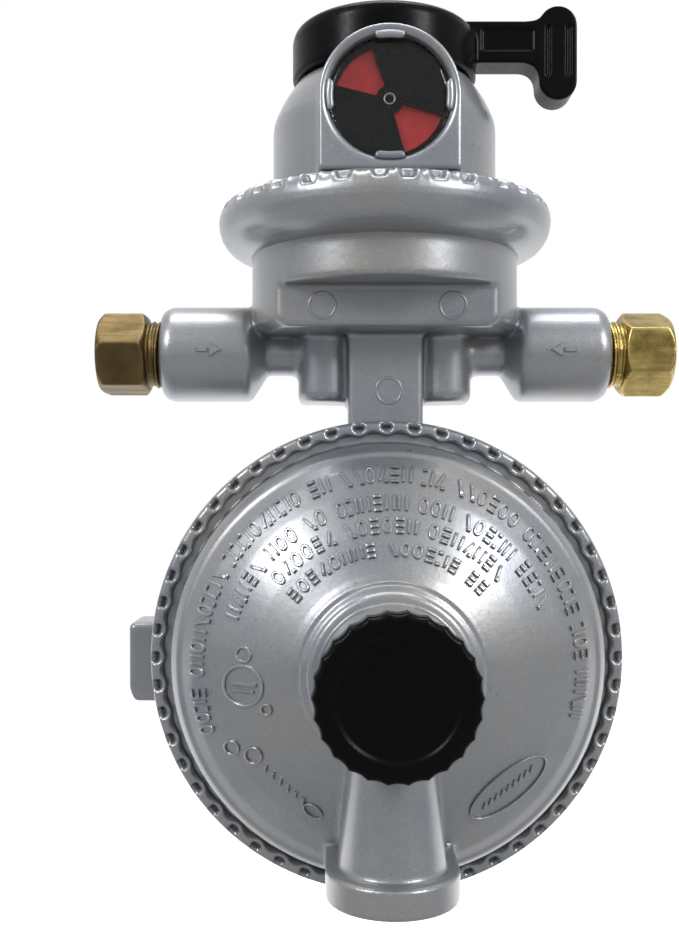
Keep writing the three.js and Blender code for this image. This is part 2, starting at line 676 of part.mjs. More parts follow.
function secondStageBonnet() {
  const dome = turned('y', [
    [0, TOWER_FRONT_Y], [12.3, TOWER_FRONT_Y], [TOWER_RADIUS, TOWER_FRONT_Y + 0.5],
    [TOWER_RADIUS, -36.1], [14.6, -36.1], [14.6, -35.1], [16.1, -35.1], [16.1, -33.4], [17.7, -33.1],
    [39.1, -20.1], [40.7, -17.8], [LOWER_BONNET_RADIUS, -14.8], [LOWER_BONNET_RADIUS, -11.4],
    [44.1, -11.3], [44.1, -8.7], [0, -8.7],
  ], { at: STAGE_TWO, facets: BIG });
  const ventTube = join(
    turned('z', [
      [0, COLLAR_TOP - 1], [VENT_TUBE_RADIUS, COLLAR_TOP - 1], [VENT_TUBE_RADIUS, COLLAR_TOP],
      [VENT_TUBE_TOP_RADIUS, VENT_TUBE_TAPER_TOP], [VENT_TUBE_TOP_RADIUS, -60], [0, -60],
    ], { at: [0, VENT_Y, 0], facets: MEDIUM }),
    plate(ventWebOutline(), VENT_Y, -20),
  );
  const collar = join(
    turned('z', [
      [0, COLLAR_BOTTOM], [COLLAR_RADIUS - 1.2, COLLAR_BOTTOM], [COLLAR_RADIUS, COLLAR_BOTTOM + 1.2],
      [COLLAR_RADIUS, COLLAR_TOP], [0, COLLAR_TOP],
    ], { at: [0, VENT_Y, 0], facets: MEDIUM }),
    block([-COLLAR_RADIUS, VENT_Y, COLLAR_BOTTOM + 0.6], [COLLAR_RADIUS, -18, COLLAR_TOP]),
  );
  const cavity = turned('y', [
    [0, -50], [TOWER_BORE, -50], [TOWER_BORE, -32.6], [15.0, -31.4], [37.0, -18.0],
    [38.8, -15.0], [38.8, -8], [0, -8],
  ], { at: STAGE_TWO, facets: BIG });
  const ventBore = join(
    rod('z', 7.4, COLLAR_BOTTOM - 1, -89.6, { at: [0, VENT_Y, 0], facets: MEDIUM }),
    rod('z', 6.0, -90, -73.5, { at: [0, VENT_Y, 0], facets: SMALL }),
  );
  return cut(join(dome, ventTube, collar), cavity, ventBore);
}

// A round outline with shallow finger flutes.
function flutedOutline(radius, depth, flutes) {
  const outline = new THREE.Shape();
  const steps = flutes * 4;
  for (let i = 0; i < steps; i += 1) {
    const angle = (i / steps) * 2 * Math.PI;
    const dip = (depth / 2) * (1 - Math.cos(flutes * angle));
    const point = [(radius - dip) * Math.cos(angle), (radius - dip) * Math.sin(angle)];
    if (i === 0) outline.moveTo(...point);
    else outline.lineTo(...point);
  }
  outline.closePath();
  return outline;
}

function adjustmentCap() {
  const head = plate(flutedOutline(CAP_RADIUS, 0.7, CAP_FLUTES), CAP_FRONT_Y, -49.6, STAGE_TWO);
  const shank = rod('y', 10.0, -49.8, -43.0, { at: STAGE_TWO, facets: MEDIUM });
  const dish = rod('y', 9.9, CAP_FRONT_Y - 1, CAP_FRONT_Y + 0.5, { at: STAGE_TWO, facets: MEDIUM });
  const hollow = rod('y', 8.0, -51.6, -42, { at: STAGE_TWO, facets: MEDIUM });
  return cut(join(head, shank), dish, hollow);
}

function adjustingScrew() {
  const plug = rod('y', 10.0, -40.4, -34.6, { at: STAGE_TWO, facets: MEDIUM });
  const hexSocket = rod('y', 5.2, -41, -36.2, { at: STAGE_TWO, facets: 6 });
  return cut(plug, hexSocket);
}

function lowerDiaphragm() {
  return turned('y', [
    [1.7, -8.5], [44.0, -8.5], [44.0, -7.5], [1.7, -7.5], [1.7, -8.5],
  ], { at: STAGE_TWO, facets: MEDIUM });
}

function lowerPlate() {
  return join(
    ring('y', 1.7, 25, -9.7, -8.7, { at: STAGE_TWO, facets: MEDIUM }),
    ring('y', 8.8, 9.6, -11.2, -9.6, { at: STAGE_TWO, facets: MEDIUM }),
  );
}

function reliefStem() {
  const stem = join(
    rod('y', 1.4, -20.8, 0, { at: STAGE_TWO, facets: 12 }),
    rod('y', 3.0, -6.1, -5.1, { at: STAGE_TWO, facets: SMALL }),
  );
  const yoke = block([-2.4, -0.9, -STAGE_DROP - 2.6], [2.4, 6.4, -STAGE_DROP + 2.6]);
  const slot = block([-1.5, 0.4, -STAGE_DROP - 4], [1.5, 5.1, -STAGE_DROP + 4]);
  return join(cut(yoke, slot), stem);
}

// The bell crank: its long arm hangs to the diaphragm stem, its short arm lifts the valve.
function bellCrank() {
  const outline = new THREE.Shape();
  const endY = 3.5;
  outline.moveTo(PIVOT_Y + 1.0, PIVOT_Z);
  outline.lineTo(PIVOT_Y + 1.0, PIVOT_Z + 2.2);
  outline.lineTo(PIVOT_Y - 1.6, PIVOT_Z + 2.2);
  outline.lineTo(PIVOT_Y - 1.8, PIVOT_Z + 1.4);
  outline.lineTo(-1.6, PIVOT_Z + 1.4);
  outline.lineTo(-1.6, PIVOT_Z - 0.4);
  outline.lineTo(PIVOT_Y - 3.0, PIVOT_Z - 1.8);
  outline.lineTo(endY - 0.8, PIVOT_Z - LEVER_REACH - 1.6);
  outline.lineTo(endY + 0.8, PIVOT_Z - LEVER_REACH - 1.6);
  outline.lineTo(PIVOT_Y + 2.2, PIVOT_Z - 1.2);
  outline.lineTo(PIVOT_Y + 2.2, PIVOT_Z);
  outline.closePath();
  const width = 2.2;
  const geometry = new THREE.ExtrudeGeometry(outline, { depth: width, bevelEnabled: false });
  geometry.rotateX(Math.PI / 2).rotateZ(Math.PI / 2);
  const hole = rod('x', 1.4, -4, 4, { at: [0, PIVOT_Y, PIVOT_Z], facets: 12 });
  return cut(solid(geometry.translate(-width / 2, 0, 0)), hole);
}

function secondStageOrifice() {
  return turned('z', [
    [1.6, -25.0], [2.2, -25.0], [3.0, -23.6], [4.5, -23.2], [4.5, -13.5], [1.6, -13.5], [1.6, -25.0],
  ], { facets: SMALL });
}

function valveHolder() {
  return turned('z', [
    [0, -29.3], [1.8, -29.3], [3.6, -28.4], [3.6, -26.4], [3.0, -26.4], [3.0, -27.5], [0, -27.5],
  ], { facets: SMALL });
}

function tapPlug() {
  const at = [0, TAP_Y, TAP_Z];
  const plug = rod('x', 4.1, LUG_LEFT + 0.6, -45.2, { at, facets: SMALL });
  const hexSocket = rod('x', 2.7, LUG_LEFT - 1, -48.4, { at, facets: 6 });
  return cut(plug, hexSocket);
}

// ---------------------------------------------------------------- build

add('main_body', silverPaint, mainBody());
add('first_stage_bonnet', silverPaint, firstStageBonnet());
add('changeover_knob', blackPlastic, changeoverKnob());
add('knob_screw', steel, knobScrew());
add('changeover_shaft', brass, changeoverShaft());
add('shaft_o_ring', rubber, ring('z', 3.05, 4.0, 49.3, 50.7, { facets: SMALL }));
add('shaft_retaining_ring', springSteel, ring('z', 2.05, 5.2, 43.0, 43.8, { facets: SMALL }));
add('changeover_cam', whitePlastic, changeoverCam());

add('indicator_lens', clearPlastic,
  rod('y', 11.1, -25.9, -24.2, { at: [0, 0, WINDOW_Z], facets: BIG }));
add('indicator_mask', blackPlastic, indicatorMask());
add('indicator_disc', redPlastic, indicatorDisc());
add('indicator_spindle', blackPlastic, indicatorSpindle());
add('indicator_rack', whitePlastic, indicatorRack());

add('first_stage_diaphragm', rubber, firstStageDiaphragm());
add('first_stage_diaphragm_hub', brass, diaphragmHub());
add('first_stage_diaphragm_plate', aluminium, diaphragmPlate());
add('first_stage_diaphragm_nut', brass, diaphragmNut());
add('first_stage_spring', springSteel,
  spring('z', { radius: 10.8, wire: 0.9, from: 23.4, to: 51.6, turns: 5 }));

SIDES.forEach(inletPieces);

add('second_stage_bonnet', silverPaint, secondStageBonnet());
add('adjustment_cap', blackPlastic, adjustmentCap());
add('cap_gasket', rubber, ring('y', 10.6, 12.2, -49.4, -48.6, { at: STAGE_TWO }));
add('adjusting_screw', aluminium, adjustingScrew());
add('spring_seat', steel, ring('y', 5.6, 9.0, -34.4, -33.4, { at: STAGE_TWO }));
add('second_stage_spring', springSteel,
  spring('y', { radius: 7.3, wire: 1.0, from: -33.2, to: -9.9, turns: 5, at: STAGE_TWO }));
add('second_stage_diaphragm', rubber, lowerDiaphragm());
add('second_stage_diaphragm_plate', steel, lowerPlate());
add('second_stage_backing_plate', aluminium, ring('y', 1.7, 12, -7.3, -6.3, { at: STAGE_TWO }));
add('relief_stem', brass, reliefStem());
add('relief_spring', springSteel,
  spring('y', { radius: 3.2, wire: 0.4, from: -18.5, to: -9.9, turns: 4, at: STAGE_TWO }));
add('relief_spring_retainer', steel,
  ring('y', 1.6, 4.4, -19.6, -18.7, { at: STAGE_TWO, facets: SMALL }));
add('second_stage_lever', steel, bellCrank());
add('lever_pivot_pin', steel,
  rod('x', 1.2, -7.6, 7.6, { at: [0, PIVOT_Y, PIVOT_Z], facets: 12 }));
add('second_stage_orifice', brass, secondStageOrifice());
add('valve_disc_holder', aluminium, valveHolder());
add('valve_disc', rubber, rod('z', 2.8, -27.3, -26.1, { facets: SMALL }));

add('vent_screen', steel, rod('z', 7.2, -90.3, -89.8, { at: [0, VENT_Y, 0], facets: MEDIUM }));
add('vent_screen_ring', springSteel, ring('z', 6.2, 7.2, -91.4, -90.5, { at: [0, VENT_Y, 0] }));
add('pressure_tap_plug', steel, tapPlug());

export default group;
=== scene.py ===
# The looks of a two-stage automatic changeover propane regulator.
#
# The castings, the knob and the brass fittings are drawn as signed distance fields on a fine
# grid, so that joins get the soft fillets of a die casting, and are then turned into meshes.
# Lengths are millimetres in a working frame (upright first-stage axis X = Y = 0, inlet axis
# Z = 0) until a mesh is made, which is in metres in the frame of the CAD model.

import json
import math
import random

import bmesh
import bpy
import numpy as np
import openvdb
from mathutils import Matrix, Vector


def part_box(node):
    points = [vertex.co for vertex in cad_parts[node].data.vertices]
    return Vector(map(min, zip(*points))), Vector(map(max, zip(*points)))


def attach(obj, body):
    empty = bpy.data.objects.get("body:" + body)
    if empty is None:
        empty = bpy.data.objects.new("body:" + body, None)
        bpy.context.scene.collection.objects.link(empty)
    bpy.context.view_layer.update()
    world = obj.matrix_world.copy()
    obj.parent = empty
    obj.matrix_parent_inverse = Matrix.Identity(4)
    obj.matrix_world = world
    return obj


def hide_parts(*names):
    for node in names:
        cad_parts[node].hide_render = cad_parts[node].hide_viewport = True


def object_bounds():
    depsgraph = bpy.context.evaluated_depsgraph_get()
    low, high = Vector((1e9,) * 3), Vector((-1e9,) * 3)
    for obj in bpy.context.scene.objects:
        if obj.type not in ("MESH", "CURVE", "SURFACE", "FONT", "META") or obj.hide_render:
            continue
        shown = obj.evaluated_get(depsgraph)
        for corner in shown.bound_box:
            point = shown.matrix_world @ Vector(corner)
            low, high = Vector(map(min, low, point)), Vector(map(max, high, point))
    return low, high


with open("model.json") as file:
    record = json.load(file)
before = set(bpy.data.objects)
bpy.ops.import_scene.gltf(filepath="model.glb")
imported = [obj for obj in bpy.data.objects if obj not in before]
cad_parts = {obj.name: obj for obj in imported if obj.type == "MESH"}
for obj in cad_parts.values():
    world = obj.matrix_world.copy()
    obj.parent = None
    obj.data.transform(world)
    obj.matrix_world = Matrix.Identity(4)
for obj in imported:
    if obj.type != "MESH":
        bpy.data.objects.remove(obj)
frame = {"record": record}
cad_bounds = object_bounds()

# ---------------------------------------------------------------- places from the frame

MM = 0.001


def middle(node, axis):
    low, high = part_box(node)
    return (low[axis] + high[axis]) / 2


# The working frame's origin, in the CAD frame, in millimetres.
ORIGIN = (
    middle("changeover_shaft", 0) / MM,
    middle("changeover_shaft", 1) / MM,
    middle("inlet_fitting_left", 2) / MM,
)
DISC_Z = -ORIGIN[2]  # the second-stage axis passes through the frame's own origin
WINDOW_Z = middle("indicator_lens", 2) / MM - ORIGIN[2]
VALVE_X = middle("inlet_poppet_right", 0) / MM

# ---------------------------------------------------------------- dimensions of the castings

CUP_RADIUS = 26.9
RIM_TOP = 30.2
SEAT_Z = 20.5
FACET_Y = -17.0
FACET_TOP = 11.5
INLET_RADIUS = 9.6
INLET_OUTER = 45.1
THREAD_RADIUS = 6.9
FITTING_END = 57.8
HEX_FLAT = 7.5
BONNET_TOP = 54.4
WINDOW_FACE = -27.0
WINDOW_RADIUS = 13.0
WINDOW_BORE = 11.3
KNOB_RADIUS = 18.65
KNOB_BOTTOM = 54.9
KNOB_TOP = 65.5
HOUSING_RADIUS = 45.8
TOWER_RADIUS = 12.8
TOWER_FRONT = -48.4
CAP_RADIUS = 13.7
CAP_FRONT = -54.2
VENT_Y = -35.5
COLLAR_RADIUS = 11.66
OUTLET_Y = 4.0
BACK_Y = 20.0
HOUSING_STAKES = 52
CUP_STAKES = 34
HEX_INNER = 48.0
LEVER_ROOT = 4.5
LEVER_BOTTOM = 58.7
LEVER_TOP = 67.1
GRIP_X = 35.05
GRIP_RADIUS = 3.85
GRIP_LOW = 55.05
GRIP_HIGH = 66.35

# (radius from the lower bonnet's axis, height) along its sloping face
CONE_FACE = [(17.7, -33.1), (25, -29.9), (32, -26.0), (36.5, -22.8), (38.9, -20.4)]
OVAL_MARK = (21.4, -21.3)
OVAL_TILT = math.radians(37)

# ---------------------------------------------------------------- light and camera settings

FRONT_SKY = 0.52
CAMERA_LOCATION = (-0.00943, -0.2455, 0.034275)  # metres, in front of the regulator
SENSOR_HEIGHT, CAMERA_LENS = 36, 42.672  # millimetres
CAMERA_SHIFT = (0.001616, 0.017241)
FLOOR_DROP = 0.1
FLOOR_HALF = 3.0

# ---------------------------------------------------------------- meshes


def to_frame(points):
    return (np.asarray(points, dtype=float) + np.array(ORIGIN)) * MM


def make_object(name, verts_mm, faces, body, replaces=(), smooth=True):
    mesh = bpy.data.meshes.new(name)
    mesh.from_pydata(to_frame(verts_mm).tolist(), [], faces)
    mesh.update()
    if smooth:
        mesh.polygons.foreach_set("use_smooth", [True] * len(mesh.polygons))
    piece = bpy.data.objects.new(name, mesh)
    bpy.context.scene.collection.objects.link(piece)
    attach(piece, body)
    if replaces:
        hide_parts(*replaces)
    return piece


def ring_faces(base, rings, count, wrap=True, closed=True):
    """Faces that join neighbouring rings of count points each, from vertex base on."""
    faces = []
    for ring in range(rings if wrap else rings - 1):
        a = base + ring * count
        b = base + (ring + 1) % rings * count
        for j in range(count if closed else count - 1):
            k = (j + 1) % count
            faces.append((a + j, b + j, b + k, a + k))
    return faces


def lathe_mesh(axis, profile, at=(0, 0, 0), around=96, push=None, closed=False):
    """Turn (radius, along) points round an axis; push(radius, along, angle) may move them."""
    outline = np.array(profile, dtype=float)
    verts = []
    for step in range(around):
        angle = 2 * math.pi * step / around
        radius = outline[:, 0].copy()
        along = outline[:, 1].copy()
        if push is not None:
            radius, along = push(radius, along, angle)
        c, s = math.cos(angle), math.sin(angle)
        if axis == "z":
            ring = np.stack([radius * c, radius * s, along], axis=1)
        elif axis == "y":
            ring = np.stack([radius * c, along, radius * s], axis=1)
        else:
            ring = np.stack([along, radius * c, radius * s], axis=1)
        verts.append(ring + np.array(at))
    return np.concatenate(verts), ring_faces(0, around, len(outline), closed=closed)


def resample(profile, spacing, closed=False):
    """The same outline with points close enough together to be shaped."""
    points = list(profile) + ([profile[0]] if closed else [])
    dense = []
    for (r0, h0), (r1, h1) in zip(points, points[1:]):
        pieces = max(1, int(math.hypot(r1 - r0, h1 - h0) / spacing))
        for i in range(pieces):
            t = i / pieces
            dense.append((r0 + (r1 - r0) * t, h0 + (h1 - h0) * t))
    if not closed:
        dense.append(points[-1])
    return dense


def tidy_mesh(piece):
    """Weld, drop stray faces and turn every face outwards."""
    mesh = bmesh.new()
    mesh.from_mesh(piece.data)
    bmesh.ops.remove_doubles(mesh, verts=mesh.verts, dist=1e-7)
    bmesh.ops.dissolve_degenerate(mesh, dist=1e-7, edges=mesh.edges)
    bmesh.ops.recalc_face_normals(mesh, faces=mesh.faces)
    mesh.to_mesh(piece.data)
    mesh.free()


# ---------------------------------------------------------------- distance fields


def smooth_min(a, b, k):
    if k <= 0:
        return np.minimum(a, b)
    h = np.clip(0.5 + 0.5 * (b - a) / k, 0, 1)
    return b + (a - b) * h - k * h * (1 - h)


def polygon_distance(profile, radius, along):
    """Signed distance, negative inside, from (radius, along) to a closed outline."""
    best = np.full(np.broadcast(radius, along).shape, 1e9)
    inside = np.zeros(best.shape, dtype=bool)
    points = list(profile)
    for (r0, h0), (r1, h1) in zip(points, points[1:] + points[:1]):
        dr, dh = r1 - r0, h1 - h0
        length = dr * dr + dh * dh
        if length == 0:
            continue
        t = np.clip(((radius - r0) * dr + (along - h0) * dh) / length, 0, 1)
        gap = (radius - r0 - t * dr) ** 2 + (along - h0 - t * dh) ** 2
        best = np.minimum(best, gap)
        crosses = (h0 > along) != (h1 > along)
        if dh != 0:
            inside ^= crosses & (radius < r0 + (along - h0) * dr / dh)
    return np.where(inside, -1, 1) * np.sqrt(best)


FAR = 50  # millimetres; further than any grid cell needs to know


class Field:
    """A signed distance field over a box of the working frame."""

    def __init__(self, low, high, step):
        self.low = np.array(low, dtype=float)
        self.step = step
        counts = [int((h - l) / step) + 1 for l, h in zip(low, high)]
        axes = [l + step * np.arange(n) for l, n in zip(low, counts)]
        self.x = axes[0][:, None, None].astype(np.float32)
        self.y = axes[1][None, :, None].astype(np.float32)
        self.z = axes[2][None, None, :].astype(np.float32)
        self.value = np.full(counts, FAR, dtype=np.float32)

    def around(self, axis, at):
        dx, dy, dz = self.x - at[0], self.y - at[1], self.z - at[2]
        if axis == "z":
            return np.sqrt(dx * dx + dy * dy), dz
        if axis == "y":
            return np.sqrt(dx * dx + dz * dz), dy
        return np.sqrt(dy * dy + dz * dz), dx

    def lathe(self, axis, profile, at=(0, 0, 0)):
        radius, along = self.around(axis, at)
        cell = 0.1
        outline = np.array(profile)
        pad = 4.0
        r_count = int((outline[:, 0].max() + pad) / cell) + 2
        h_low = outline[:, 1].min() - pad
        h_count = int((outline[:, 1].max() + pad - h_low) / cell) + 2
        # An outline that starts and ends on the axis is mirrored, so the axis is no edge.
        whole = list(profile)
        if profile[0][0] == 0:
            whole += [(-r, h) for r, h in reversed(profile)]
        radii = (np.arange(r_count) * cell)[:, None]
        heights = (h_low + np.arange(h_count) * cell)[None, :]
        table = polygon_distance(whole, radii, heights).astype(np.float32)
        ri = np.clip(radius / cell, 0, r_count - 1.001)
        hi = np.clip((along - h_low) / cell, 0, h_count - 1.001)
        r0, h0 = ri.astype(np.int32), hi.astype(np.int32)
        rf, hf = ri - r0, hi - h0
        near = table[r0, h0] * (1 - hf) + table[r0, h0 + 1] * hf
        far = table[r0 + 1, h0] * (1 - hf) + table[r0 + 1, h0 + 1] * hf
        return near * (1 - rf) + far * rf

    def rod(self, axis, radius, start, end, at=(0, 0, 0)):
        out, along = self.around(axis, at)
        side = out - radius
        cap = np.abs(along - (start + end) / 2) - (end - start) / 2
        outside = np.sqrt(np.maximum(side, 0) ** 2 + np.maximum(cap, 0) ** 2)
        return outside + np.minimum(np.maximum(side, cap), 0)

    def block(self, low, high, rounding=0.0):
        gaps = []
        for value, l, h in zip((self.x, self.y, self.z), low, high):
            gaps.append(np.abs(value - (l + h) / 2) - (h - l) / 2 + rounding)
        outside = np.sqrt(sum(np.maximum(g, 0) ** 2 for g in gaps))
        deepest = np.maximum(np.maximum(gaps[0], gaps[1]), gaps[2])
        return outside + np.minimum(deepest, 0) - rounding

    def outline(self, points, y0, y1):
        """A closed outline in X and Z, from y0 to y1."""
        flat = polygon_distance(points, self.x[:, 0, :], self.z[0, 0, :][None, :])
        flat = flat.astype(np.float32)[:, None, :]
        cap = np.abs(self.y - (y0 + y1) / 2) - (y1 - y0) / 2
        outside = np.sqrt(np.maximum(flat, 0) ** 2 + np.maximum(cap, 0) ** 2)
        return outside + np.minimum(np.maximum(flat, cap), 0)

    def add(self, shape, fillet=0.0):
        self.value = smooth_min(self.value, shape, fillet).astype(np.float32)
        return self

    def cut(self, shape, fillet=0.0):
        self.value = -smooth_min(-self.value, shape, fillet).astype(np.float32)
        return self

    def soften(self, passes):
        """Round every edge a little, as paint and a die's wear do."""
        for _ in range(passes):
            for axis in range(3):
                v = np.moveaxis(self.value, axis, 0)
                v[1:-1] = 0.25 * v[:-2] + 0.5 * v[1:-1] + 0.25 * v[2:]
        return self

    def mesh(self, name, body, slot, replaces=()):
        band = 3.0
        grid = openvdb.FloatGrid(band)
        grid.copyFromArray(np.clip(self.value / self.step, -band, band))
        points, triangles, quads = grid.convertToPolygons(isovalue=0.0, adaptivity=0.0)
        faces = [tuple(f[::-1]) for f in quads.tolist() + triangles.tolist()]
        return make_object(
            name, points * self.step + self.low, faces, body, replaces)


# ---------------------------------------------------------------- materials


def node_material(name):
    material = bpy.data.materials.new(name)
    material.use_nodes = True
    tree = material.node_tree
    return material, tree, tree.nodes["Principled BSDF"]


def link(tree, source, output, target, socket):
    tree.links.new(source.outputs[output], target.inputs[socket])


def noise(tree, scale, detail=4.0, roughness=0.55, stretch=None):
    node = tree.nodes.new("ShaderNodeTexNoise")
    node.inputs["Scale"].default_value = scale
    node.inputs["Detail"].default_value = detail
    node.inputs["Roughness"].default_value = roughness
    coords = tree.nodes.new("ShaderNodeTexCoord")
    if stretch is None:
        link(tree, coords, "Object", node, "Vector")
        return node
    mapping = tree.nodes.new("ShaderNodeMapping")
    mapping.inputs["Scale"].default_value = stretch
    link(tree, coords, "Object", mapping, "Vector")
    link(tree, mapping, "Vector", node, "Vector")
    return node


def grey(value):
    return (value, value, value)


def ramp(tree, source, output, stops):
    node = tree.nodes.new("ShaderNodeValToRGB")
    elements = node.color_ramp.elements
    while len(elements) < len(stops):
        elements.new(0.5)
    for element, (position, colour) in zip(elements, stops):
        element.position = position
        element.color = (*colour, 1)
    link(tree, source, output, node, "Fac")
    return node


def mix_colour(tree, a, b, factor, mode="MIX"):
    node = tree.nodes.new("ShaderNodeMix")
    node.data_type = "RGBA"
    node.blend_type = mode
    if isinstance(factor, float):
        node.inputs["Factor"].default_value = factor
    else:
        tree.links.new(factor, node.inputs["Factor"])
    tree.links.new(a, node.inputs["A"])
    tree.links.new(b, node.inputs["B"])
    return node


def bump(tree, shader, height, strength, distance):
    node = tree.nodes.new("ShaderNodeBump")
    node.inputs["Strength"].default_value = strength
    node.inputs["Distance"].default_value = distance
    tree.links.new(height, node.inputs["Height"])
    link(tree, node, "Normal", shader, "Normal")


def map_range(tree, source, low, high, top=1.0):
    node = tree.nodes.new("ShaderNodeMapRange")
    node.inputs["From Min"].default_value = low
    node.inputs["From Max"].default_value = high
    node.inputs["To Max"].default_value = top
    tree.links.new(source, node.inputs["Value"])
    return node


# Pointiness map: bright worn edges on the brass, and painted shade in the paint's concave corners.
def edge_wear_and_corner_shade(tree, low, high):
    geometry = tree.nodes.new("ShaderNodeNewGeometry")
    return map_range(tree, geometry.outputs["Pointiness"], low, high)


def along_y(tree, space, low, high):
    """0 to 1 from low to high along Y, in the named texture space."""
    coords = tree.nodes.new("ShaderNodeTexCoord")
    split = tree.nodes.new("ShaderNodeSeparateXYZ")
    link(tree, coords, space, split, "Vector")
    return map_range(tree, split.outputs["Y"], low, high)


def maths(tree, operation, *values):
    """A maths node's output; each value is a number or another node's output."""
    node = tree.nodes.new("ShaderNodeMath")
    node.operation = operation
    for socket, value in enumerate(values):
        if isinstance(value, float):
            node.inputs[socket].default_value = value
        else:
            tree.links.new(value, node.inputs[socket])
    return node.outputs["Value"]


def rough_skin(tree):
    """Fine grain everywhere, and a crackled patch low on the left of the lower bonnet."""
    grain = noise(tree, 700, 4, 0.55)
    crackle = noise(tree, 950, 6, 0.75)
    coords = tree.nodes.new("ShaderNodeTexCoord")
    away = tree.nodes.new("ShaderNodeVectorMath")
    away.operation = "DISTANCE"
    link(tree, coords, "Object", away, 0)
    away.inputs[1].default_value = to_frame([(-16.0, -24.0, DISC_Z - 31.0)])[0]
    patch = map_range(tree, away.outputs["Value"], 0.014, 0.006, 4.0)
    rough = maths(tree, "MULTIPLY", crackle.outputs["Fac"], patch.outputs["Result"])
    return maths(tree, "MULTIPLY_ADD", grain.outputs["Fac"], 0.28, rough)


def silver_paint():
    """Aluminium-flake paint on a zinc casting: mottled, speckled, with painted shade in the
    corners.
    """
    material, tree, shader = node_material("silver_paint")
    broad = noise(tree, 55, 4)
    base = ramp(tree, broad, "Fac", [
        (0.3, (0.26, 0.28, 0.316)), (0.5, (0.318, 0.331, 0.352)), (0.7, (0.337, 0.334, 0.328))])
    flakes = noise(tree, 3600, 2, 0.6)
    speckle = ramp(tree, flakes, "Fac", [
        (0.0, grey(0.72)), (0.4, grey(0.92)), (0.6, grey(1.0)), (0.74, grey(1.3))])
    painted = mix_colour(tree, base.outputs["Color"], speckle.outputs["Color"], 0.8, "MULTIPLY")
    pits = noise(tree, 420, 3, 0.7)
    pitted = ramp(tree, pits, "Fac", [(0.24, grey(0.35)), (0.3, grey(1.0))])
    stained = mix_colour(tree, painted.outputs["Result"], pitted.outputs["Color"], 0.8, "MULTIPLY")
    # painted shade: a near-black colour mixed into concave corners and creases, picked out by
    # pointiness
    corner = edge_wear_and_corner_shade(tree, 0.42, 0.485)
    corner_shade_colour = tree.nodes.new("ShaderNodeRGB")
    corner_shade_colour.outputs[0].default_value = (0.035, 0.036, 0.04, 1)
    corner_shaded = mix_colour(tree, corner_shade_colour.outputs[0], stained.outputs["Result"], corner.outputs["Result"])
    link(tree, corner_shaded, "Result", shader, "Base Color")
    shader.inputs["Metallic"].default_value = 0.7
    rough = ramp(tree, flakes, "Fac", [(0.3, grey(0.30)), (0.7, grey(0.42))])
    link(tree, rough, "Color", shader, "Roughness")
    shader.inputs["Coat Weight"].default_value = 0.35
    shader.inputs["Coat Roughness"].default_value = 0.12
    bump(tree, shader, rough_skin(tree), 0.35, 0.0003)
    return material


def black_plastic(name, rough_low, rough_high, tone):
    material, tree, shader = node_material(name)
    broad = noise(tree, 120, 4)
    base = ramp(tree, broad, "Fac", [(0.3, grey(tone)), (0.7, grey(tone * 1.6))])
    link(tree, base, "Color", shader, "Base Color")
    scuffs = noise(tree, 500, 5, 0.7)
    rough = ramp(tree, scuffs, "Fac", [(0.35, grey(rough_low)), (0.75, grey(rough_high))])
    link(tree, rough, "Color", shader, "Roughness")
    grain = noise(tree, 2600, 3)
    bump(tree, shader, grain.outputs["Fac"], 0.25, 0.00005)
    shader.inputs["Specular IOR Level"].default_value = 0.1
    return material


def brass(name, light, dark, rough, scratch):
    """Machined brass: tarnish in patches, turning marks and fine scratches."""
    material, tree, shader = node_material(name)
    patches = noise(tree, 160, 6, 0.62)
    base = ramp(tree, patches, "Fac", [(0.3, dark), (0.62, light)])
    worn = edge_wear_and_corner_shade(tree, 0.5, 0.56)
    bright = tree.nodes.new("ShaderNodeRGB")
    bright.outputs[0].default_value = (*[min(1, c * 1.5) for c in light], 1)
    colour = mix_colour(tree, base.outputs["Color"], bright.outputs[0], worn.outputs["Result"])
    link(tree, colour, "Result", shader, "Base Color")
    shader.inputs["Metallic"].default_value = 1.0
    lines = noise(tree, 900, 3, 0.6, (0.12, 1, 1))
    tone = ramp(tree, lines, "Fac", [(0.3, grey(rough)), (0.7, grey(rough + 0.2))])
    link(tree, tone, "Color", shader, "Roughness")
    bump(tree, shader, lines.outputs["Fac"], scratch, 0.0001)
    return material


def metal(name, colour, rough, scale=700):
    material, tree, shader = node_material(name)
    patches = noise(tree, scale, 5)
    dark = tuple(c * 0.72 for c in colour)
    base = ramp(tree, patches, "Fac", [(0.3, dark), (0.7, colour)])
    link(tree, base, "Color", shader, "Base Color")
    shader.inputs["Metallic"].default_value = 1.0
    tone = ramp(tree, patches, "Fac", [(0.3, grey(rough)), (0.7, grey(rough + 0.15))])
    link(tree, tone, "Color", shader, "Roughness")
    bump(tree, shader, patches.outputs["Fac"], 0.15, 0.00005)
    return material


def moulding(name, colour, rough):
    material, tree, shader = node_material(name)
    patches = noise(tree, 400, 4)
    dark = tuple(c * 0.85 for c in colour)
    base = ramp(tree, patches, "Fac", [(0.3, dark), (0.7, colour)])
    link(tree, base, "Color", shader, "Base Color")
    tone = ramp(tree, patches, "Fac", [(0.3, grey(rough)), (0.7, grey(rough + 0.1))])
    link(tree, tone, "Color", shader, "Roughness")
    bump(tree, shader, patches.outputs["Fac"], 0.1, 0.00004)
    return material


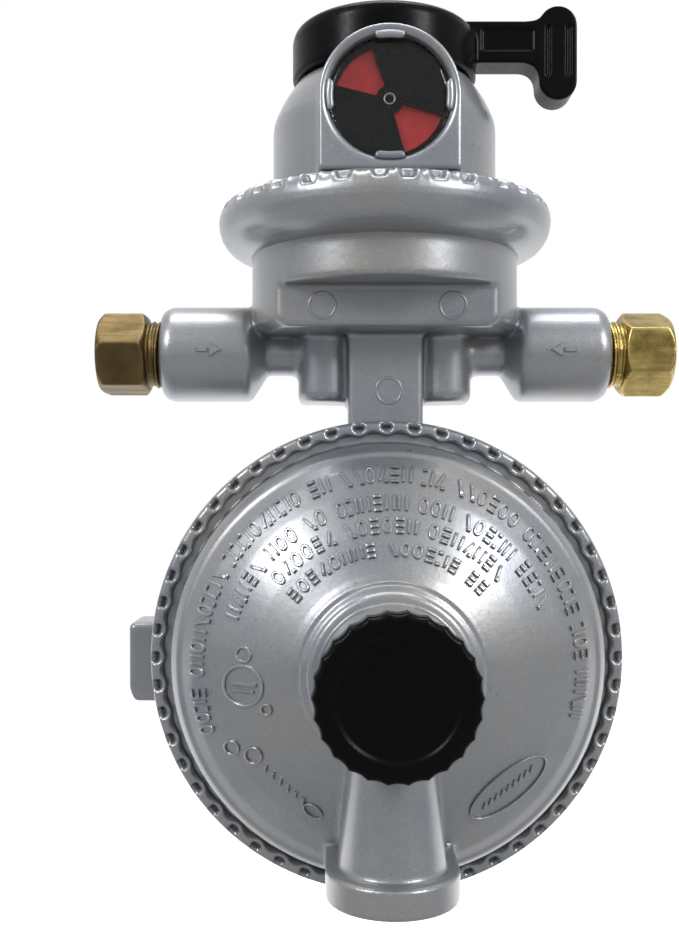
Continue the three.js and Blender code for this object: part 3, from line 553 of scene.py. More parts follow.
def indicator_fields():
    """Red and green quarters round the indicator's own axis; red shows with no gas pressure."""
    material, tree, shader = node_material("indicator_fields")
    coords = tree.nodes.new("ShaderNodeTexCoord")
    split = tree.nodes.new("ShaderNodeSeparateXYZ")
    link(tree, coords, "Object", split, "Vector")
    height = maths(tree, "SUBTRACT", split.outputs["Z"], float(middle("indicator_disc", 2)))
    across = maths(tree, "MULTIPLY", split.outputs["X"], height)
    sign = maths(tree, "LESS_THAN", across, 0.0)
    grain = noise(tree, 500, 4)
    green = ramp(tree, grain, "Fac", [(0.3, (0.01, 0.22, 0.04)), (0.7, (0.02, 0.32, 0.06))])
    red = ramp(tree, grain, "Fac", [(0.3, (0.42, 0.008, 0.01)), (0.7, (0.62, 0.02, 0.02))])
    colour = mix_colour(tree, green.outputs["Color"], red.outputs["Color"], sign)
    link(tree, colour, "Result", shader, "Base Color")
    shader.inputs["Roughness"].default_value = 0.35
    bump(tree, shader, grain.outputs["Fac"], 0.05, 0.00004)
    return material


def clear_plastic():
    material, tree, shader = node_material("clear_plastic")
    haze = noise(tree, 700, 5)
    tone = ramp(tree, haze, "Fac", [(0.4, grey(0.02)), (0.8, grey(0.12))])
    link(tree, tone, "Color", shader, "Roughness")
    shader.inputs["Base Color"].default_value = (0.96, 0.98, 0.98, 1)
    shader.inputs["Transmission Weight"].default_value = 1.0
    shader.inputs["IOR"].default_value = 1.3
    bump(tree, shader, haze.outputs["Fac"], 0.04, 0.00005)
    return material


MATERIALS = {
    "silver_paint": silver_paint(),
    "black_plastic": black_plastic("black_plastic", 0.24, 0.38, 0.001),
    "clear_plastic": clear_plastic(),
    "red_plastic": indicator_fields(),
    "white_plastic": moulding("white_plastic", (0.78, 0.77, 0.72), 0.4),
    "bright_brass": brass("bright_brass", (0.44, 0.34, 0.12), (0.15, 0.1, 0.03), 0.22, 0.6),
    "dull_brass": brass("dull_brass", (0.15, 0.105, 0.045), (0.085, 0.06, 0.027), 0.34, 0.3),
    "bronze": metal("bronze", (0.42, 0.27, 0.15), 0.6, 2500),
    "black_rubber": moulding("black_rubber", (0.02, 0.02, 0.02), 0.75),
    "aluminium": metal("aluminium", (0.78, 0.79, 0.8), 0.3),
    "spring_steel": metal("spring_steel", (0.45, 0.46, 0.48), 0.25),
    "plated_steel": metal("plated_steel", (0.66, 0.67, 0.68), 0.28),
}


def paint(piece, slot):
    piece.data.materials.clear()
    piece.data.materials.append(MATERIALS[slot])


# ---------------------------------------------------------------- castings


def build_main_body():
    field = Field((-53, -28, -113), (53, 28.5, 32), 0.5)
    disc = (0, 0, DISC_Z)
    cup = field.lathe("z", [
        (0, 3.5), (25.4, 3.5), (CUP_RADIUS, 5.0), (CUP_RADIUS, 18.9), (27.3, 19.3), (27.3, 20.0),
        (0, 20.0)])
    field.add(cup)
    for side in (-1, 1):
        profile = [
            (0, 8), (4.3, 8), (4.3, 23.8), (9.1, 26.9), (INLET_RADIUS, 27.6),
            (INLET_RADIUS, INLET_OUTER - 2.2), (8.9, INLET_OUTER - 0.7), (7.9, INLET_OUTER),
            (0, INLET_OUTER)]
        turned = [(r, side * h) for r, h in profile]
        field.add(field.lathe("x", turned), 0.8)
        x = side * VALVE_X
        boss = np.minimum(
            field.lathe("z", [
                (0, -10.0), (4.1, -10.0), (4.9, -9.6), (5.3, -8.7), (5.3, 5), (0, 5)],
                (x, -1.5, 0)),
            field.block((x - 5.3, -1.5, -10.0), (x + 5.3, 6, 5), 1.0))
        field.add(boss, 1.6)
    field.add(field.block((-VALVE_X, -4.2, -9.2), (VALVE_X, 6, 5), 1.0), 1.6)
    field.add(field.block((-7.4, -8.5, -24), (7.4, 8, 5), 0.4), 1.2)
    bowl = field.lathe("y", [
        (0, -10), (44.0, -10), (44.0, -4.6), (42.4, -3.0), (41.4, 2.0), (38.2, 8.6), (33.5, 12.6),
        (28, 14.2), (0, 14.2)], disc)
    field.add(bowl, 1.0)
    field.add(field.block(
        (-20, 10, DISC_Z - 12), (20, BACK_Y, DISC_Z + 12), 1.0), 1.5)
    rib_points = [(8, 8), (3, 46), (6.5, 46), (12.8, 34), (16.2, 27), (16.2, 8)]
    rib = polygon_distance(
        rib_points, field.y[0, :, :], field.z[0, :, :] - DISC_Z).astype(np.float32)[None, :, :]
    field.add(np.maximum(rib, np.abs(field.x) - 1.6), 1.5)
    field.add(field.lathe("z", [
        (0, -111), (10.6, -111), (11.5, -110.1), (11.5, -92), (0, -92)], (0, OUTLET_Y, 0)), 1.5)
    lug = field.block((-51.6, -4.2, -70.3), (-36, 8.6, -54.4), 0.9)
    slant = (field.x + 51.6) * 0.75 + (field.z + 70.3) * 0.35
    field.add(np.maximum(lug, 0.9 - slant), 0.8)
    field.cut(field.block((-30, -40, 2), (30, FACET_Y, FACET_TOP)), 0.3)
    hollow_main_body(field, disc)
    field.soften(1)
    return field.mesh("regulator_casting", "regulator_body", "silver_paint", ["main_body"])


def hollow_main_body(field, disc):
    chamber = field.lathe("z", [(0, 8.5), (15.8, 8.5), (15.8, 12.5), (24, 12.5), (24, 32), (0, 32)])
    field.cut(chamber)
    for side in (-1, 1):
        bore = [
            (0, VALVE_X), (2.5, VALVE_X), (2.5, 31), (4.5, 31), (4.5, 34.5), (6.5, 34.5),
            (7.2, INLET_OUTER), (7.2, 46), (0, 46)]
        field.cut(field.lathe("x", [(r, side * h) for r, h in bore]))
        at = (side * VALVE_X, 0, 0)
        field.cut(field.rod("z", 3.6, 3.0, 9.5, at))
        field.cut(field.rod("z", 3.0, -7.5, 3.5, at))
    field.cut(field.rod("z", 2.5, -14, 9.5))
    field.cut(field.rod("z", 4.7, -24.5, -13.2))
    field.cut(field.lathe("y", [
        (0, -14), (43.0, -14), (43.0, -7.3), (38.5, -7.3), (38.5, 1.5), (35.5, 7.5), (31, 9.5),
        (0, 9.5)], disc))
    outlet = (0, OUTLET_Y, 0)
    field.cut(field.rod("z", 7.9, -112, -99.8, outlet))
    field.cut(field.rod("z", 5, -100.5, -92, outlet))
    field.cut(field.rod("x", 4.3, -53, -44.5, (0, 2.5, -61.8)))
    for x in (-13, 13):
        field.cut(field.rod("y", 2.6, 13.5, 21, (x, 0, DISC_Z)))
    for x in (-5.7, 5.7):
        ear = field.block((x - 1.5, 3.2, -34.2), (x + 1.5, 10.5, -27.8))
        field.add(ear, 0.6)
    field.cut(field.rod("x", 1.45, -9, 9, (0, 6.0, -31.0)))


def housing_rim():
    """The rim staked over the lower bonnet: a wavy lip with an oval punch mark at each wave."""
    profile = resample([
        (43.3, -11.7), (43.3, -12.6), (43.7, -12.9), (44.9, -12.9), (45.5, -12.6),
        (HOUSING_RADIUS, -11.9), (HOUSING_RADIUS, -4.6), (45.2, -3.7), (43.2, -3.6),
        (43.2, -8.0), (44.5, -8.0), (44.5, -11.7)], 0.35, closed=True)

    def push(radius, along, angle):
        phase = math.cos(HOUSING_STAKES * angle)
        front = np.clip((-11.6 - along) / 1.0, 0, 1)
        lip = np.clip((44.4 - radius) / 1.0, 0, 1)
        wave = 0.45 * phase * lip * front
        mark_r = (radius - 44.6) / 0.5
        mark_a = math.sin(HOUSING_STAKES * angle / 2) / 0.56
        dent = 1.7 * np.exp(-(mark_r ** 4 + mark_a ** 6)) * front
        return radius - wave, along + dent

    verts, faces = lathe_mesh(
        "y", profile, (0, 0, DISC_Z), HOUSING_STAKES * 18, push, closed=True)
    return make_object("housing_rim", verts, faces, "regulator_body", ["main_body"])


def cup_rim():
    """The fat rolled rim of the first stage, with ragged punch marks along its top edge."""
    profile = resample([
        (26.2, 19.1), (27.5, 19.2), (28.8, 19.5), (30.2, 20.1), (31.4, 20.9), (32.3, 21.9),
        (33.0, 23.1), (33.45, 24.6), (33.6, 26.0), (33.4, 27.3), (32.8, 28.4), (31.8, 29.2),
        (30.4, 29.75), (27.5, 30.1), (24.4, 30.2), (23.5, 30.0), (23.5, 28.9), (29.3, 27.0),
        (29.3, SEAT_Z), (24.4, SEAT_Z), (24.4, 19.1)], 0.45, closed=True)
    shaker = random.Random(7)
    shake = [(shaker.uniform(-0.16, 0.16), shaker.uniform(0.5, 1.5)) for _ in range(CUP_STAKES)]

    def push(radius, along, angle):
        turn = CUP_STAKES * angle / (2 * math.pi)
        index = int(round(turn)) % CUP_STAKES
        offset, depth = shake[index]
        away = (turn - round(turn) - offset) / 0.22
        near = np.exp(-(((radius - 32.3) / 0.9) ** 4 + ((along - 28.7) / 1.2) ** 4 + away ** 4))
        lump = np.exp(-(((radius - 32.3) / 1.6) ** 2 + ((along - 28.9) / 1.4) ** 2))
        lump *= 0.3 * depth * math.exp(-((abs(away) - 1.4) / 0.4) ** 2)
        return radius - 0.7 * depth * near + 0.4 * lump, along - 1.0 * depth * near + lump

    verts, faces = lathe_mesh("z", profile, (0, 0, 0), CUP_STAKES * 22, push, closed=True)
    return make_object("cup_rim", verts, faces, "regulator_body", ["main_body"])


def build_first_bonnet():
    field = Field((-30.5, -30.5, 20.5), (30.5, 30.5, 58.5), 0.35)
    at = (0, 0, WINDOW_Z)
    shell = field.lathe("z", [
        (0, 22.0), (29.0, 22.0), (29.0, 26.7), (23.1, 28.6), (22.6, 29.2), (22.6, 44.6),
        (22.4, 46.2), (21.6, 48.2), (20.6, 50.2), (19.2, 52.4), (17.8, BONNET_TOP),
        (0, BONNET_TOP)])
    field.add(shell)
    boss = np.minimum(
        field.block((-WINDOW_RADIUS, WINDOW_FACE, RIM_TOP + 0.3), (WINDOW_RADIUS, -14, WINDOW_Z)),
        field.rod("y", WINDOW_RADIUS, WINDOW_FACE, -14, at))
    boss = np.maximum(boss, -field.block((-20, -30, 20), (20, -22.8, RIM_TOP + 0.3)))
    field.add(boss, 1.6)
    field.cut(field.lathe("z", [
        (0, 21), (23.6, 21), (23.6, 22.9), (19.8, 25.7), (19.8, 45.4), (18.2, 49.2), (15.6, 51.8),
        (0, 51.8)]))
    field.cut(field.block((-20, -19.4, BONNET_TOP), (20, -10, BONNET_TOP + 5)))
    field.add(field.block((-9, -20.4, 30), (9, -17.9, 52.4)))
    field.add(field.rod("z", 6.5, 44, 52.5))
    recess = field.rod("y", WINDOW_BORE, WINDOW_FACE - 1, -20.4, at)
    field.cut(recess)
    # a shallow chamfer round the window's mouth
    field.cut(field.lathe("y", [
        (0, -28), (12.35, -28), (12.2, WINDOW_FACE), (11.3, -26.2), (0, -26.2)], at))
    field.cut(field.rod("z", 4.15, 43, 56))
    field.cut(field.rod("y", 0.95, -21.5, -17, at))
    field.soften(1)
    return field.mesh(
        "upper_bonnet_casting", "regulator_body", "silver_paint", ["first_stage_bonnet"])


def window_tabs():
    """Four lips staked inwards over the edge of the window."""
    verts, faces = [], []
    steps, half_angle = 14, 0.24
    for quarter in range(4):
        base = len(verts)
        for i in range(steps + 1):
            t = i / steps * 2 - 1
            angle = quarter * math.pi / 2 + t * half_angle
            fade = 1 - 0.35 * t ** 8
            inner = WINDOW_BORE + 0.3 - 1.35 * fade
            section = [
                (WINDOW_BORE + 0.35, -26.95), (inner + 0.4, -26.98), (inner, -26.7),
                (inner + 0.1, -26.3), (WINDOW_BORE + 0.35, -26.1)]
            verts.extend(
                (r * math.cos(angle), y, WINDOW_Z + r * math.sin(angle)) for r, y in section)
        count = len(section)
        faces.extend(ring_faces(base, steps + 1, count, wrap=False))
        faces.append(tuple(base + j for j in range(count)))
        faces.append(tuple(base + steps * count + j for j in reversed(range(count))))
    return make_object(
        "window_tabs", verts, faces, "regulator_body", ["first_stage_bonnet"])


def build_second_bonnet():
    field = Field((-46, -50.5, -107), (46, -7, -13), 0.42)
    disc = (0, 0, DISC_Z)
    dome = field.lathe("y", [
        (0, TOWER_FRONT), (12.3, TOWER_FRONT), (TOWER_RADIUS, TOWER_FRONT + 0.5),
        (TOWER_RADIUS, -36.2), (14.6, -36.1), (14.9, -35.2), (16.2, -35.0), (16.5, -33.6),
        (17.5, -33.4), *CONE_FACE, (39.5, -20.3), (40.9, -18.2), (41.3, -16.0), (41.3, -11.4),
        (44.1, -11.3), (44.1, -8.7), (0, -8.7)], disc)
    field.add(dome)
    taper = [(9.35, -93.3), (9.35, -92.3), (6.8, -66), (6.8, -60)]
    tube = np.minimum(
        field.lathe("z", [(0, -93.3)] + taper + [(0, -60)], (0, VENT_Y, 0)),
        field.outline(taper + [(-x, z) for x, z in reversed(taper)], VENT_Y, -20))
    field.add(tube, 1.2)
    collar = np.minimum(
        field.rod("z", COLLAR_RADIUS, -97.6, -92.3, (0, VENT_Y, 0)),
        field.block((-COLLAR_RADIUS, VENT_Y, -97.6), (COLLAR_RADIUS, -18, -92.3)))
    field.add(collar, 0.9)
    field.cut(field.lathe("y", [
        (0, -52), (10.3, -52), (10.3, -32.6), (15.0, -31.4), (37.0, -18.0), (38.8, -15.0),
        (38.8, -8), (0, -8)], disc))
    field.cut(field.rod("z", 7.4, -99, -89.6, (0, VENT_Y, 0)))
    field.cut(field.rod("z", 6.0, -90, -73.5, (0, VENT_Y, 0)))
    field.soften(1)
    return field.mesh(
        "lower_bonnet_casting", "regulator_body", "silver_paint", ["second_stage_bonnet"])


# ---------------------------------------------------------------- raised casting marks


def cone_front(radius):
    """Height of the lower bonnet's face at a radius from its axis."""
    return float(np.interp(radius, *zip(*CONE_FACE)))


def raised_bar(verts, faces, outline, height=0.6):
    """A low bar with bevelled sides, standing on the cone; outline holds (x, z) corners."""
    count = len(outline)
    centre = np.mean(outline, axis=0)
    base = len(verts)
    for shrink, lift in ((1.0, -0.25), (0.86, height * 0.75), (0.5, height)):
        for x, z in outline:
            px = centre[0] + (x - centre[0]) * shrink
            pz = centre[1] + (z - centre[1]) * shrink
            y = cone_front(math.hypot(px, pz)) - lift
            verts.append((px, y, pz + DISC_Z))
    for layer in range(2):
        for i in range(count):
            j = (i + 1) % count
            a, b = base + layer * count, base + (layer + 1) * count
            faces.append((a + i, a + j, b + j, b + i))
    faces.append(tuple(base + 2 * count + i for i in range(count)))
    faces.append(tuple(base + i for i in reversed(range(count))))


def polar(radius, angle):
    return radius * math.cos(angle), radius * math.sin(angle)


def bar_on_face(verts, faces, radius, angle, across, along, tilt=0.0):
    """One stroke centred at (radius, angle), across = round the axis, along = outwards."""
    cx, cz = polar(radius, angle)
    ux, uz = math.cos(angle + tilt), math.sin(angle + tilt)
    vx, vz = -uz, ux
    outline = []
    for a, b in ((-1, -1), (1, -1), (1, 1), (-1, 1)):
        u, v = a * along / 2, b * across / 2
        outline.append((cx + ux * u + vx * v, cz + uz * u + vz * v))
    raised_bar(verts, faces, outline)


def ring_on_face(verts, faces, centre, half_long, half_short, width, tilt=0.0):
    """A raised ring or oval on the cone; centre is (x, z) from the disc's axis."""
    steps = 48
    base = len(verts)
    section = [(-1.0, -0.25), (-0.75, 0.36), (-0.3, 0.46), (0.3, 0.46), (0.75, 0.36), (1.0, -0.25)]
    for i in range(steps):
        turn = 2 * math.pi * i / steps
        for offset, lift in section:
            grow = offset * width / 2
            u = (half_long + grow) * math.cos(turn)
            v = (half_short + grow) * math.sin(turn)
            x = centre[0] + u * math.cos(tilt) - v * math.sin(tilt)
            z = centre[1] + u * math.sin(tilt) + v * math.cos(tilt)
            verts.append((x, cone_front(math.hypot(x, z)) - lift, z + DISC_Z))
    faces.extend(ring_faces(base, steps, len(section)))


def casting_marks():
    """Rows of plain raised strokes and rings, where such a casting carries its notes."""
    verts, faces = [], []
    shaker = random.Random(3)
    rows = [(35.5, 199, -15, 3.1), (30.3, 160, 22, 2.9), (26.3, 140, 41, 2.7), (22.2, 141, 38, 2.4)]
    width = 0.62
    for radius, start, end, height in rows:
        angle = math.radians(start)
        word = shaker.randint(3, 8)
        pitch = 2.3 / radius
        while angle > math.radians(end):
            if word == 0:
                angle -= 0.7 * pitch
                word = shaker.randint(2, 9)
                continue
            kind = shaker.randint(0, 4)
            left, right = angle + 0.68 / radius, angle - 0.68 / radius
            if kind == 0:
                bar_on_face(verts, faces, radius, left, width, height)
                bar_on_face(verts, faces, radius, right, width, height)
            elif kind == 1:
                bar_on_face(verts, faces, radius, right, width, height)
                for share in (-0.42, 0.42):
                    bar_on_face(verts, faces, radius + share * height, left, 1.0, width)
            elif kind == 2:
                for share in (-0.42, 0.0, 0.42):
                    bar_on_face(verts, faces, radius + share * height, angle, 1.7, width)
            elif kind == 3:
                tilt = shaker.choice((-0.4, 0.4))
                bar_on_face(verts, faces, radius, angle, width, height, tilt)
                bar_on_face(verts, faces, radius - 0.42 * height, right, 0.9, width)
            else:
                ring_on_face(
                    verts, faces, polar(radius, angle), height * 0.42, 0.72, width, angle)
            angle -= pitch
            word -= 1
    round_mark = (-26.5, -2.5)
    ring_on_face(verts, faces, round_mark, 3.6, 3.6, 0.6)
    for lift, length in ((0.3, 5.6), (-0.9, 4.6)):
        x, z = round_mark[0], round_mark[1] + lift
        raised_bar(verts, faces, [
            (x - length / 2, z - 0.3), (x + length / 2, z - 0.3), (x + length / 2, z + 0.3),
            (x - length / 2, z + 0.3)])
    for x, z, size in ((-26.4, 3.1, 1.3), (-22.2, -6.4, 0.9), (-28.8, -14.3, 1.3),
                       (-24.7, -15.3, 1.5)):
        ring_on_face(verts, faces, (x, z), size, size, 0.5)
    # a broken line of strokes ending in an oblong, lower left, and an oval, lower right
    for step in range(6):
        x, z = -22.6 + step * 1.35, -17.6 - step * 1.15
        raised_bar(verts, faces, [
            (x - 0.25, z - 0.8), (x + 0.25, z - 0.8), (x + 0.45, z + 0.8), (x - 0.05, z + 0.8)])
    ring_on_face(verts, faces, (-14.0, -25.3), 1.9, 1.1, 0.5, math.radians(-38))
    ring_on_face(verts, faces, OVAL_MARK, 8.4, 3.3, 0.45, OVAL_TILT)
    for step in range(9):
        along = -5.4 + step * 1.35
        x = OVAL_MARK[0] + along * math.cos(OVAL_TILT)
        z = OVAL_MARK[1] + along * math.sin(OVAL_TILT)
        raised_bar(verts, faces, [
            (x - 0.5, z - 0.7), (x + 0.05, z - 0.9), (x + 0.45, z + 0.7), (x - 0.1, z + 0.9)], 0.35)
    return make_object(
        "casting_marks", verts, faces, "regulator_body", ["second_stage_bonnet"],
        smooth=False)


def flow_arrows():
    """A raised arrow on each inlet boss, pointing inwards."""
    verts, faces = [], []
    for side in (-1, 1):
        shaft = [(37.6, -0.5), (34.8, -0.5), (34.8, 0.5), (37.6, 0.5)]
        head = [(34.9, -1.7), (32.0, 0.0), (34.9, 1.7)]
        for outline in (shaft, head):
            count = len(outline)
            base = len(verts)
            for shrink, lift in ((1.0, -0.3), (0.7, 0.38)):
                centre = np.mean(outline, axis=0)
                for x, z in outline:
                    px = centre[0] + (x - centre[0]) * shrink
                    pz = centre[1] + (z - centre[1]) * shrink
                    y = -math.sqrt(INLET_RADIUS ** 2 - pz ** 2) - lift
                    verts.append((side * px, y, pz))
            for i in range(count):
                j = (i + 1) % count
                faces.append((base + i, base + j, base + count + j, base + count + i))
            faces.append(tuple(base + count + i for i in range(count)))
            faces.append(tuple(base + i for i in reversed(range(count))))
    return make_object(
        "flow_arrows", verts, faces, "regulator_body", ["main_body"], smooth=False)


def ejector_rings():
    """Faint witness rings of the die's ejector pins on the front of the casting."""
    verts, faces = [], []
    steps, ring_radius = 40, 2.5
    section = [(-0.35, 0.06), (-0.12, -0.1), (0.12, -0.1), (0.35, 0.06)]
    places = [(-12.4, 7.5, FACET_Y), (12.4, 7.5, FACET_Y), (0.6, -8.0, -8.5)]
    for cx, cz, face_y in places:
        base = len(verts)
        for i in range(steps):
            turn = 2 * math.pi * i / steps
            for offset, lift in section:
                r = ring_radius + offset
                verts.append((cx + r * math.cos(turn), face_y + lift, cz + r * math.sin(turn)))
        faces.extend(ring_faces(base, steps, len(section)))
    return make_object(
        "ejector_rings", verts, faces, "regulator_body", ["main_body"])


# ---------------------------------------------------------------- knob and cap


def bend(start, pull, end, steps):
    """Points after start on a curve that leaves start towards pull and ends at end."""
    points = []
    for i in range(1, steps + 1):
        t = i / steps
        points.append(tuple(
            (1 - t) ** 2 * a + 2 * t * (1 - t) * b + t * t * c
            for a, b, c in zip(start, pull, end)))
    return points


def arc(height, start, sweep, first, steps):
    """Points of one rounded end of the grip."""
    angles = [start + i * sweep / steps for i in range(first, steps + 1)]
    return [
        (GRIP_X + GRIP_RADIUS * math.cos(a), height + GRIP_RADIUS * math.sin(a)) for a in angles]


def lever_points():
    """The lever arm's outline in X and Z, with the T-shaped grip at its end."""
    arm = (27.4, LEVER_BOTTOM)
    points = [(LEVER_ROOT, LEVER_BOTTOM), arm]
    points += bend(arm, (31.2, LEVER_BOTTOM), (31.2, GRIP_LOW), 8)
    points += arc(GRIP_LOW, math.pi, math.pi, 1, 12)
    points += arc(GRIP_HIGH, 0.0, math.radians(150), 0, 12)
    points += bend(points[-1], (31.0, LEVER_TOP), (28.4, LEVER_TOP), 6)
    return points + [(LEVER_ROOT, LEVER_TOP)]


def build_knob():
    field = Field((-19.6, -19.6, 50.2), (40, 19.6, 71.2), 0.26)
    field.add(field.lathe("z", [
        (0, KNOB_BOTTOM), (18.0, KNOB_BOTTOM), (KNOB_RADIUS, KNOB_BOTTOM + 0.7),
        (KNOB_RADIUS, KNOB_TOP - 2.4), (18.3, KNOB_TOP - 1.1), (17.5, KNOB_TOP - 0.3),
        (16.2, KNOB_TOP), (0, KNOB_TOP)]))
    field.add(field.outline(lever_points(), -3.55, 3.55), 0.7)
    for x in (33.1, 37.2):
        field.cut(field.block((x - 0.45, -4.5, 56), (x + 0.45, -3.0, 66.2), 0.2))
        field.cut(field.block((x - 0.45, 3.0, 56), (x + 0.45, 4.5, 66.2), 0.2))
    field.cut(field.block((19.6, -4.5, 61.0), (30.2, -3.2, 65.6), 0.3))
    field.cut(field.block((19.6, 3.2, 61.0), (30.2, 4.5, 65.6), 0.3))
    field.cut(field.lathe("z", [(8, 53), (16.4, 53), (16.4, 59.0), (8, 59.0)]))
    field.cut(field.block((-2.95, -2.95, 53), (2.95, 2.95, 61.7)))
    field.cut(field.rod("z", 1.95, 61, 68))
    field.cut(field.rod("z", 4.2, 63.5, 69))
    field.soften(1)
    return field.mesh("knob_moulding", "changeover", "black_plastic", ["changeover_knob"])


def build_cap():
    flutes = 26
    profile = resample([
        (8.0, -51.6), (8.0, -43.2), (9.6, -43.0), (10.0, -43.4), (10.0, -49.6), (12.9, -49.6),
        (13.5, -49.9), (CAP_RADIUS, -50.4), (CAP_RADIUS, -53.3), (13.4, -53.9), (12.7, CAP_FRONT),
        (10.3, CAP_FRONT), (9.9, -53.9), (9.7, -53.7), (0.0, -53.7)], 0.35)
    profile = [(0.0, -51.6)] + profile

    def push(radius, along, angle):
        dip = 0.38 * (0.5 - 0.5 * math.cos(flutes * angle)) ** 0.45
        edge = np.clip((radius - 12.6) / 0.7, 0, 1) * np.clip((-49.4 - along) / 0.4, 0, 1)
        return radius - dip * edge, along

    verts, faces = lathe_mesh("y", profile, (0, 0, DISC_Z), flutes * 14, push)
    return make_object(
        "cap_moulding", verts, faces, "adjustment_cap", ["adjustment_cap"])


# ---------------------------------------------------------------- brass fittings


def build_fitting(side, name, node, slot, first_corner):
    """A hex fitting: chamfered hexagon, flare socket, and the last pipe threads showing."""
    low, high = (34, 58.6) if side > 0 else (-58.6, -34)
    field = Field((low, -9.2, -9.2), (high, 9.2, 9.2), 0.2)
    along = side * field.x
    radius = np.sqrt(field.y ** 2 + field.z ** 2)
    hexagon = np.full(field.value.shape, -FAR, dtype=np.float32)
    for k in range(6):
        turn = math.radians(first_corner + 30 + 60 * k)
        flat = -field.y * math.cos(turn) + field.z * math.sin(turn) - HEX_FLAT
        hexagon = np.maximum(hexagon, flat)
    ends = np.abs(along - (HEX_INNER + FITTING_END) / 2) - (FITTING_END - HEX_INNER) / 2
    chamfer = np.maximum(radius + along - FITTING_END, radius - (along - HEX_INNER) * 1.4)
    hexagon = np.maximum(np.maximum(hexagon, ends), chamfer - 7.35)
    pitch = 1.41
    bearing = np.arctan2(field.z, field.y)
    wave = 0.34 * np.cos(2 * math.pi * along / pitch - bearing)
    fade = np.clip((47.4 - along) / 0.5, 0, 1)
    taper = THREAD_RADIUS - 0.35 - (INLET_OUTER - along) * 0.03
    thread = radius - (taper + wave * fade - 0.25 * (1 - fade))
    shank = np.maximum(thread, np.abs(along - 41.4) - 7.0)
    field.value = np.minimum(hexagon, shank).astype(np.float32)
    bore = [(0, 34), (2.3, 34), (2.3, 53.6), (4.0, 51.9), (5.1, 51.9), (5.1, FITTING_END - 0.7),
            (5.9, FITTING_END + 0.6), (0, FITTING_END + 0.6)]
    field.cut(field.lathe("x", [(r, side * h) for r, h in bore]))
    field.soften(1)
    return field.mesh(name, "regulator_body", slot, [node])


# ---------------------------------------------------------------- window pieces


def lens_piece():
    profile = [
        (0.0, -24.25), (10.6, -24.25), (11.1, -24.4), (11.1, -25.3), (10.7, -25.7), (9.5, -25.85),
        (0.0, -25.95)]
    verts, faces = lathe_mesh("y", profile, (0, 0, WINDOW_Z), 96)
    return make_object(
        "window_lens", verts, faces, "regulator_body", ["indicator_lens"])


def dial_ring():
    """The small moulded ring round the indicator's pivot, between mask and lens."""
    section = [(0.95 + 0.13 * math.cos(t * math.pi / 5), -24.05 + 0.13 * math.sin(t * math.pi / 5))
               for t in range(10)]
    verts, faces = lathe_mesh("y", section, (0, 0, WINDOW_Z), 40, closed=True)
    return make_object("dial_ring", verts, faces, "regulator_body")


def vent_mesh():
    """A woven wire disc across the vent."""
    low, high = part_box("vent_screen")
    z = (low[2] + high[2]) / 2 / MM - ORIGIN[2]
    reach = (high[0] - low[0]) / 2 / MM
    verts, faces = [], []
    pitch, wire, sides = 0.9, 0.16, 6

    def strand(points):
        base = len(verts)
        for point, across, up in points:
            for k in range(sides):
                turn = 2 * math.pi * k / sides
                verts.append(tuple(np.array(point) + wire * (
                    math.cos(turn) * np.array(across) + math.sin(turn) * np.array(up))))
        for i in range(len(points) - 1):
            a, b = base + i * sides, base + (i + 1) * sides
            for k in range(sides):
                j = (k + 1) % sides
                faces.append((a + k, a + j, b + j, b + k))
        faces.append(tuple(base + k for k in reversed(range(sides))))
        faces.append(tuple(base + (len(points) - 1) * sides + k for k in range(sides)))

    lines = int(reach / pitch)
    for n in range(-lines, lines + 1):
        offset = n * pitch
        half = math.sqrt(max(0.04, (reach - 0.2) ** 2 - offset ** 2))
        steps = max(2, int(2 * half / (pitch / 2)))
        warp, weft = [], []
        for i in range(steps + 1):
            s = -half + 2 * half * i / steps
            lift = 0.08 * math.cos(math.pi * s / pitch) * (-1) ** n
            warp.append(((s, VENT_Y + offset, z + lift), (0, 1, 0), (0, 0, 1)))
            weft.append(((offset, VENT_Y + s, z - lift), (1, 0, 0), (0, 0, 1)))
        strand(warp)
        strand(weft)
    return make_object(
        "vent_wire_mesh", verts, faces, "regulator_body", ["vent_screen"])


# ---------------------------------------------------------------- stage, light and camera


def build_stage():
    floor_z = cad_bounds[0][2] - FLOOR_DROP
    mesh = bpy.data.meshes.new("floor")
    corners = ((-1, -1), (1, -1), (1, 1), (-1, 1))
    mesh.from_pydata(
        [(x * FLOOR_HALF, y * FLOOR_HALF, floor_z) for x, y in corners], [], [(0, 1, 2, 3)])
    floor = bpy.data.objects.new("floor", mesh)
    bpy.context.scene.collection.objects.link(floor)
    material, tree, shader = node_material("pale_floor")
    # pale under and behind the object, greyer in front of it, so the undersides keep their shade
    depth = along_y(tree, "Object", -0.05, 0.18)
    tone = ramp(tree, depth, "Result", [(0.0, grey(0.3)), (0.75, grey(0.95))])
    link(tree, tone, "Color", shader, "Base Color")
    shader.inputs["Roughness"].default_value = 0.9
    glow = ramp(tree, depth, "Result", [(0.3, grey(0.0)), (0.9, grey(1.0))])
    link(tree, glow, "Color", shader, "Emission Color")
    shader.inputs["Emission Strength"].default_value = 0.45
    mesh.materials.append(material)


def add_light(name, place, target, size, power):
    data = bpy.data.lights.new(name, "AREA")
    data.shape = "RECTANGLE"
    data.size, data.size_y = size
    data.energy = power
    lamp = bpy.data.objects.new(name, data)
    bpy.context.scene.collection.objects.link(lamp)
    lamp.location = place
    direction = Vector(target) - Vector(place)
    lamp.rotation_euler = direction.to_track_quat("-Z", "Y").to_euler()


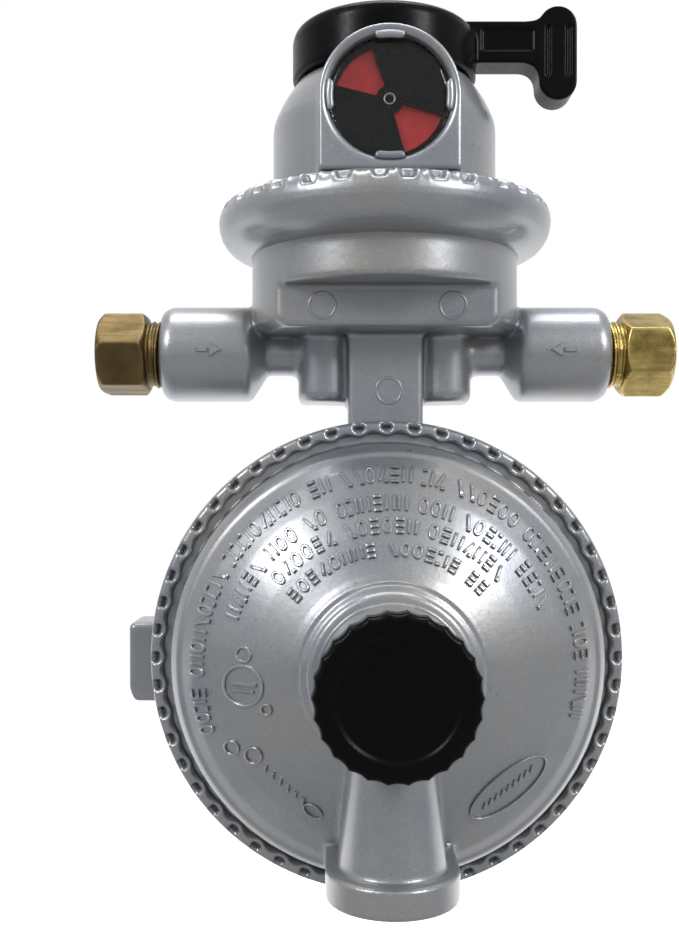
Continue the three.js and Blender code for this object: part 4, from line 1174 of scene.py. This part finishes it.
def build_light():
    world = bpy.data.worlds.new("studio")
    bpy.context.scene.world = world
    world.use_nodes = True
    tree = world.node_tree
    background = tree.nodes["Background"]
    # bright behind and dim in front, so that the castings show dark and light bands
    depth = along_y(tree, "Generated", -1.0, 1.0)
    sky = ramp(tree, depth, "Result", [
        (0.0, grey(FRONT_SKY)), (0.55, grey(FRONT_SKY * 1.1)), (0.9, grey(1.0))])
    link(tree, sky, "Color", background, "Color")
    background.inputs["Strength"].default_value = 1.0
    target = (0, -0.02, 0.04)
    add_light("key_left", (-0.6, -0.55, 0.55), target, (0.16, 0.34), 4.0)
    add_light("key_right", (0.6, -0.6, 0.5), target, (0.16, 0.34), 4.4)
    add_light("top", (0.0, 0.05, 0.95), target, (0.7, 0.4), 6.0)


def build_camera():
    camera_data = bpy.data.cameras.new("camera")
    camera = bpy.data.objects.new("camera", camera_data)
    bpy.context.scene.collection.objects.link(camera)
    camera.location = CAMERA_LOCATION
    camera.rotation_euler = (math.radians(90), 0, 0)
    camera_data.sensor_fit = "VERTICAL"
    camera_data.sensor_height = SENSOR_HEIGHT
    camera_data.lens = CAMERA_LENS
    camera_data.shift_x, camera_data.shift_y = CAMERA_SHIFT
    camera_data.clip_start = 0.01
    bpy.context.scene.camera = camera
    bpy.context.scene.view_settings.view_transform = "Standard"


# ---------------------------------------------------------------- build

pieces = [
    build_main_body(), housing_rim(), cup_rim(), build_first_bonnet(), window_tabs(),
    build_second_bonnet(), casting_marks(), flow_arrows(), ejector_rings(), build_knob(),
    build_cap(), lens_piece(), dial_ring(), vent_mesh(),
    build_fitting(1, "brass_fitting_right", "inlet_fitting_right", "bright_brass", 32),
    build_fitting(-1, "brass_fitting_left", "inlet_fitting_left", "dull_brass", 10),
]
PIECE_SLOTS = {
    "knob_moulding": "black_plastic", "cap_moulding": "black_plastic",
    "window_lens": "clear_plastic", "vent_wire_mesh": "plated_steel",
    "dial_ring": "plated_steel",
    "brass_fitting_right": "bright_brass", "brass_fitting_left": "dull_brass",
}
for piece in pieces:
    tidy_mesh(piece)
    paint(piece, PIECE_SLOTS.get(piece.name, "silver_paint"))

for entry in frame["record"]["subparts"]:
    node = bpy.data.objects.get(entry["node"])
    if node is not None:
        paint(node, entry["material_slot"])

build_stage()
build_light()
build_camera()
